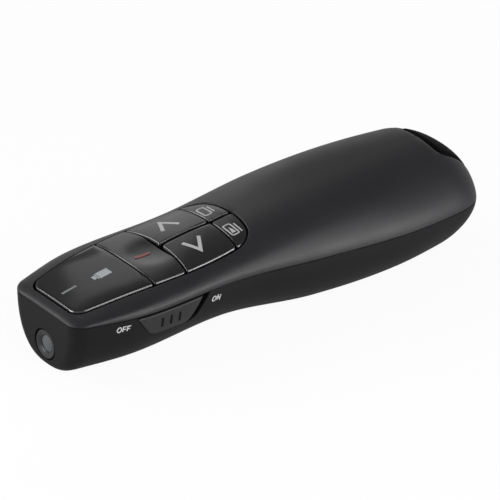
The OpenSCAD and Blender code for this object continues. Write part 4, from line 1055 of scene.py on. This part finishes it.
def hinge_roll():
    """Round bar along Y with softly rounded ends, closed at both."""
    a = full_turn(48)
    end = np.linspace(0, PI / 2, 8)
    half = HINGE_HALF - HINGE_ROUND * (1 - np.cos(end))
    radius = HINGE_R - HINGE_ROUND * (1 - np.sin(end))
    y = np.concatenate([[-HINGE_HALF], -half, half[::-1], [HINGE_HALF]])[:, None]
    r = np.concatenate([[0], radius, radius[::-1], [0]])[:, None]
    return np.stack([HINGE_X + r * np.cos(a), y + 0 * a, HINGE_Z + r * np.sin(a)], axis=-1)


piece("battery_cover", "cover", LOWER_ABS,
      [(cap(DOOR_CENTRE, cover_area, cover_face, COVER_T, COVER_EDGE, count=520, core=90), True),
       (hinge_roll(), True)], ["battery_cover"])

# ---------------------------------------------------------------- receiver cap
CAP_FLOOR, CAP_LEAST, CAP_ROLL = 0.3, 0.05, 0.8


def receiver_cap():
    """Rear cap: the body surface over the notch, straight down to just over the parting line.

    Each row is as wide as the cap, less the round of its front corners, or as the body.
    """
    x = np.concatenate([CAP_X + CAP_CORNER * (1 - np.cos(np.linspace(0, PI / 2, 14))),
                        tail_steps(CAP_X + CAP_CORNER, HALF, 44)[1:]])[:, None]
    from_bend = np.maximum(CAP_CORNER - (x - CAP_X), 0)
    cut = CAP_CORNER - np.sqrt(np.maximum(CAP_CORNER**2 - from_bend**2, 0))
    y = np.minimum(CAP_HALF - cut, half_width(x)) * (2 * eased(61) - 1)
    x = x + 0 * y
    floor_z = seam_z(np.array(HALF)) + CAP_FLOOR
    edge = both(CAP_X - x, np.abs(y) - CAP_HALF, CAP_CORNER)
    z = np.maximum(top_z(x, y) - roll(-edge, CAP_ROLL), floor_z + CAP_LEAST)
    top = np.stack([x, y, z], axis=-1)
    base = np.stack([x, y, np.full_like(x, floor_z)], axis=-1)
    # The cap's finish is darker than its black plastic: painted shade for the shadow in the notch round it
    piece("receiver_cap", "receiver", TAIL_BLACK_SHADE, slab(top, base, 2), ["receiver_cap"])


receiver_cap()

# ---------------------------------------------------------------- laser aperture
BEZEL_PROFILE = [(0, 2.0), (0, 3.45), (-0.6, 3.45), (-0.74, 3.36), (-0.78, 3.2), (-0.74, 2.95),
                 (-0.4, 2.2), (-0.3, 2.02)]
LENS_R, LENS_FOOT_R, LENS_BULGE, LENS_OUT, LENS_IN = 1.98, 2.2, 0.35, 0.15, 0.8


def laser_aperture():
    """Stepped ring on the floor of the nose bore, and the window in it, which bulges as a parabola."""
    centre = (float(nose_x(np.array(LASER_Z))) + BEZEL_DEPTH, 0, LASER_Z)
    front = [(-LENS_BULGE * (1 - v * v) - LENS_OUT, LENS_R * v) for v in np.linspace(0, 1, 12)]
    window = [(LENS_IN, 0)] + front + [(LENS_IN, LENS_FOOT_R)]
    piece("laser_bezel", "grip", BEZEL, [(ring(BEZEL_PROFILE, centre), True)],
          ["nose_bezel"])
    piece("aperture_lens", "grip", LENS, [(ring(window, centre), True)], ["aperture_window"])


laser_aperture()

# ---------------------------------------------------------------- marks
def marks(name, body, ink, place, strokes):
    """One mark of several strokes of ink, each a path and its width."""
    piece(name, body, ink, [stroke(path, width, place) for path, width in strokes])


def rounded_path(x0, x1, y0, y1, r):
    """Closed path round a rectangle with corners of radius r."""
    q = np.linspace(0, PI / 2, 7)
    corners = ((x1 - r, y1 - r, 0), (x0 + r, y1 - r, 1), (x0 + r, y0 + r, 2), (x1 - r, y0 + r, 3))
    path = [(cx + r * math.cos(t), cy + r * math.sin(t))
            for cx, cy, k in corners for t in q + k * PI / 2]
    return path + path[:1]


OVAL = [(0.46 + 0.4 * math.cos(t), 0.5 + 0.5 * math.sin(t)) for t in np.linspace(0, 2 * PI, 33)]
# Capitals one high: how far the next one stands, and the paths of this one
CAPITALS = {
    "O": (1.1, [OVAL]),
    "F": (0.86, [[(0.7, 1), (0.08, 1), (0.08, 0)], [(0.08, 0.48), (0.6, 0.48)]]),
    "N": (1.0, [[(0.1, 0), (0.1, 1), (0.75, 0), (0.75, 1)]])}
SLANT, LETTER_W = 0.22, 0.21


def word(letters, x, z, size):
    """Strokes of plain slanted capitals in X and Z, from the left end x and the foot z."""
    strokes = []
    for letter in letters:
        advance, paths = CAPITALS[letter]
        strokes += [([(x + size * (u + SLANT * v), z + size * v) for u, v in path], LETTER_W * size)
                    for path in paths]
        x += advance * size
    return strokes


OUTLINE_W, ARROW_W = 0.34, 0.85
marks("status_bar_mark", "grip", DIM_MARK, on_panel, [([(-52.7, 0), (-48.8, 0)], 0.62)])
marks("battery_mark", "grip", CELL_MARK, on_panel,
      [([(-43.3, -0.6), (-40.2, -0.6)], 2.4), ([(-43.8, -0.6), (-43.45, -0.6)], 2.1),
       ([(-44.7, -0.6), (-43.95, -0.6)], 1.4)])
marks("previous_arrow", "previous_key", MARK, on_panel,
      [([(-21.9, -3.2), (-20.0, -7.6), (-17.4, -3.2)], ARROW_W)])
marks("next_arrow", "next_key", MARK, on_panel, [([(-21.9, 4.0), (-20.0, 8.0), (-17.4, 4.0)], ARROW_W)])
marks("play_icon", "play_key", MARK, on_panel,
      [(rounded_path(-11.0, -9.15, -7.6, -3.6, 0.4), OUTLINE_W),
       ([(-8.35, -4.2), (-8.35, -7.5)], OUTLINE_W)])
# A filled triangle: one stroke that widens from its tip to its foot
marks("play_icon_fill", "play_key", MARK, on_panel,
      [([(-10.08, -4.6), (-10.08, -6.9)], np.array([0.02, 1.1]))])
marks("blank_icon", "blank_key", MARK, on_panel,
      [(rounded_path(-11.0, -9.15, 2.7, 6.4, 0.4), OUTLINE_W),
       ([(-8.35, 2.9), (-8.35, 5.8)], OUTLINE_W)])
marks("off_mark", "grip", SIDE_MARK, on_side(0), word("OFF", -48.4, 12.45, 1.2))
marks("on_mark", "grip", SIDE_MARK, on_side(0), word("ON", -22.8, 12.85, 1.2))

# ---------------------------------------------------------------- battery bay behind the cover
BAY_OUTSIDE, BAY_INSIDE = (-4.7, 46.1, 12.2, 1.0), (-3.5, 44.9, 11.0, 0.6)
BAY_LIFT, BAY_TOP = 2.1, 14.15


def battery_bay():
    """Upright rim of rounded plan that holds both cells, its lower edge following the sole."""
    a = full_turn(720)
    loops = []
    for box in (BAY_OUTSIDE, BAY_INSIDE):
        r = reach(rounded_box(*box), DOOR_CENTRE, a)
        x, y = DOOR_CENTRE[0] + r * np.cos(a), r * np.sin(a)
        low = skin(x, base_angle(x, y))[:, 2] + BAY_LIFT
        loops += [np.stack([x, y, z], axis=-1) for z in (low, np.full_like(x, BAY_TOP))]
    out_low, out_top, in_low, in_top = loops
    rim = np.stack([out_low, out_top, in_top, in_low, out_low])
    piece("battery_bay", "grip", INNER_ABS, [(rim, True)])


battery_bay()

# ---------------------------------------------------------------- floor, light and camera
FLOOR_HALF = 4


def seen_clear(tree):
    """Whether a ray comes from the camera or through a clear piece, and whether from a reflection."""
    path = add(tree, "LightPath")
    clear = add(tree, "Math", {0: path.outputs["Is Camera Ray"], 1: path.outputs["Is Transmission Ray"]},
                operation="MAXIMUM")
    return clear.outputs[0], path.outputs["Is Glossy Ray"]


def pale_floor():
    """Paper sheet: white to the eye with the object's shadow in it, and a mid grey to all else."""
    mesh = bpy.data.meshes.new("floor")
    mesh.from_pydata([(FLOOR_HALF * x, FLOOR_HALF * y, 0) for x, y in ((-1, -1), (1, -1), (1, 1), (-1, 1))],
                     [], [(0, 1, 2, 3)])
    floor = put("floor", mesh)
    made = bpy.data.materials.new("matt_white_paper")
    tree = empty_tree(made)
    where = add(tree, "TexCoord").outputs["Object"]
    fibre = add(tree, "TexNoise", {"Vector": where, "Scale": 400, "Detail": 2}).outputs["Fac"]
    clear, glossy = seen_clear(tree)
    level = add(tree, "MapRange", {"Value": clear, "To Min": 0.42, "To Max": 0.98}).outputs["Result"]
    tone = add(tree, "MapRange", {"Value": fibre, "From Min": 0.3, "From Max": 0.7,
                                  "To Min": 0.98, "To Max": 1.02}).outputs["Result"]
    shade = add(tree, "Math", {0: level, 1: tone}, operation="MULTIPLY").outputs[0]
    paper = add(tree, "BsdfDiffuse", {"Color": shade}).outputs[0]
    white = add(tree, "Emission", {"Color": (1, 1, 1, 1), "Strength": 1.0}).outputs[0]
    in_gloss = add(tree, "Math", {0: glossy, 1: 0.38}, operation="MULTIPLY").outputs[0]
    white_share = add(tree, "Math", {0: clear, 1: 0.94, 2: in_gloss}, operation="MULTIPLY_ADD").outputs[0]
    mixed = add(tree, "MixShader", {0: white_share, 1: paper, 2: white})
    add(tree, "OutputMaterial", {"Surface": mixed.outputs[0]})
    mesh.materials.append(made)


pale_floor()


def studio():
    """White to the eye. In reflections a white backdrop low down fades into a dim room above."""
    world = bpy.data.worlds.new("studio")
    bpy.context.scene.world = world
    tree = empty_tree(world)
    clear, glossy = seen_clear(tree)
    sight = add(tree, "TexCoord").outputs["Generated"]
    height = add(tree, "SeparateXYZ", {"Vector": sight}).outputs["Z"]
    room = add(tree, "MapRange", {"Value": height, "From Min": 0.02, "From Max": 0.3,
                                  "To Min": 0.6, "To Max": 0.3}, interpolation_type="SMOOTHSTEP")
    fill = add(tree, "MapRange", {"Value": glossy, "To Min": 0.4, "To Max": room.outputs["Result"]})
    level = add(tree, "MapRange", {"Value": clear, "To Min": fill.outputs["Result"], "To Max": 1.0})
    sky = add(tree, "Background", {"Color": (1, 1, 1, 1), "Strength": level.outputs["Result"]})
    add(tree, "OutputWorld", {"Surface": sky.outputs[0]})


studio()


def turned(right, up, back, place):
    """Matrix of an object whose X, Y and Z axes are right, up and back, at a place."""
    return Matrix([[right[i], up[i], back[i], place[i]] for i in range(3)] + [[0, 0, 0, 1]])


def softbox(name, place, target, size, power):
    """Rectangular lamp at a place in metres, aimed at a target."""
    lamp = bpy.data.lights.new(name, "AREA")
    lamp.shape = "RECTANGLE"
    lamp.size, lamp.size_y = size
    lamp.energy = power
    obj = put(name, lamp)
    obj.visible_camera = False
    back = np.array(place, float) - np.array(target, float)
    back /= np.linalg.norm(back)
    side = np.cross([0, 0, 1], back)
    side /= np.linalg.norm(side)
    obj.matrix_world = turned(side, np.cross(back, side), back, place)


softbox("key_light", (0.685, -0.846, 0.163), (0, 0, 0.01), (0.42, 0.3), 0.9)
softbox("near_light", (0.11, -0.94, 0.56), (0, 0, 0.01), (0.6, 0.42), 4.4)
softbox("low_card", (0.075, -0.2, 0.021), (0.02, 0, 0.02), (0.24, 0.04), 0.19)
softbox("far_light", (-0.58, 0.75, 0.56), (0, 0, 0.01), (0.6, 0.42), 3.6)
softbox("panel_light", (0.47, 0.93, 0.25), (0, 0, 0.01), (0.6, 0.16), 0.22)
softbox("key_card", (0.021, 0.069, 0.057), (-0.014, 0.006, 0.023), (0.045, 0.024), 0.0028)
softbox("nose_card", (-0.16, 0.03, 0.035), (-0.058, 0, 0.008), (0.06, 0.05), 0.06)
softbox("window_card", (0.012, 0.088, 0.098), (-0.036, 0, 0.02), (0.05, 0.04), 0.0045)

AZIMUTH, ELEVATION, TILT = (math.radians(v) for v in (-37.834, 28.228, 1.403))
DISTANCE = 1000 / 0.68
FOCUS = 4.41 * DISTANCE
AIM = np.array([0, 0, 12])
SHIFT_RIGHT, SHIFT_UP = -0.124, 0.020
SENSOR, SENSOR_POINTS = 36, 500


def set_camera():
    """Camera with a long lens, DISTANCE mm from its aim along azimuth and elevation.

    It is rolled about its view by TILT and shifted in its own plane.
    """
    back = np.array([math.sin(AZIMUTH) * math.cos(ELEVATION), -math.cos(AZIMUTH) * math.cos(ELEVATION),
                     math.sin(ELEVATION)])
    level = np.array([math.cos(AZIMUTH), math.sin(AZIMUTH), 0])
    upright = np.cross(back, level)
    right = math.cos(TILT) * level + math.sin(TILT) * upright
    up = -math.sin(TILT) * level + math.cos(TILT) * upright
    eye = (AIM + SHIFT_RIGHT * right + SHIFT_UP * up + DISTANCE * back) * MM
    lens = bpy.data.cameras.new("camera")
    lens.sensor_width = SENSOR
    lens.lens = SENSOR * FOCUS / SENSOR_POINTS
    lens.clip_end = 20
    camera = put("camera", lens)
    camera.matrix_world = turned(right, up, back, eye)
    bpy.context.scene.camera = camera


set_camera()
bpy.context.scene.view_settings.view_transform = "Standard"
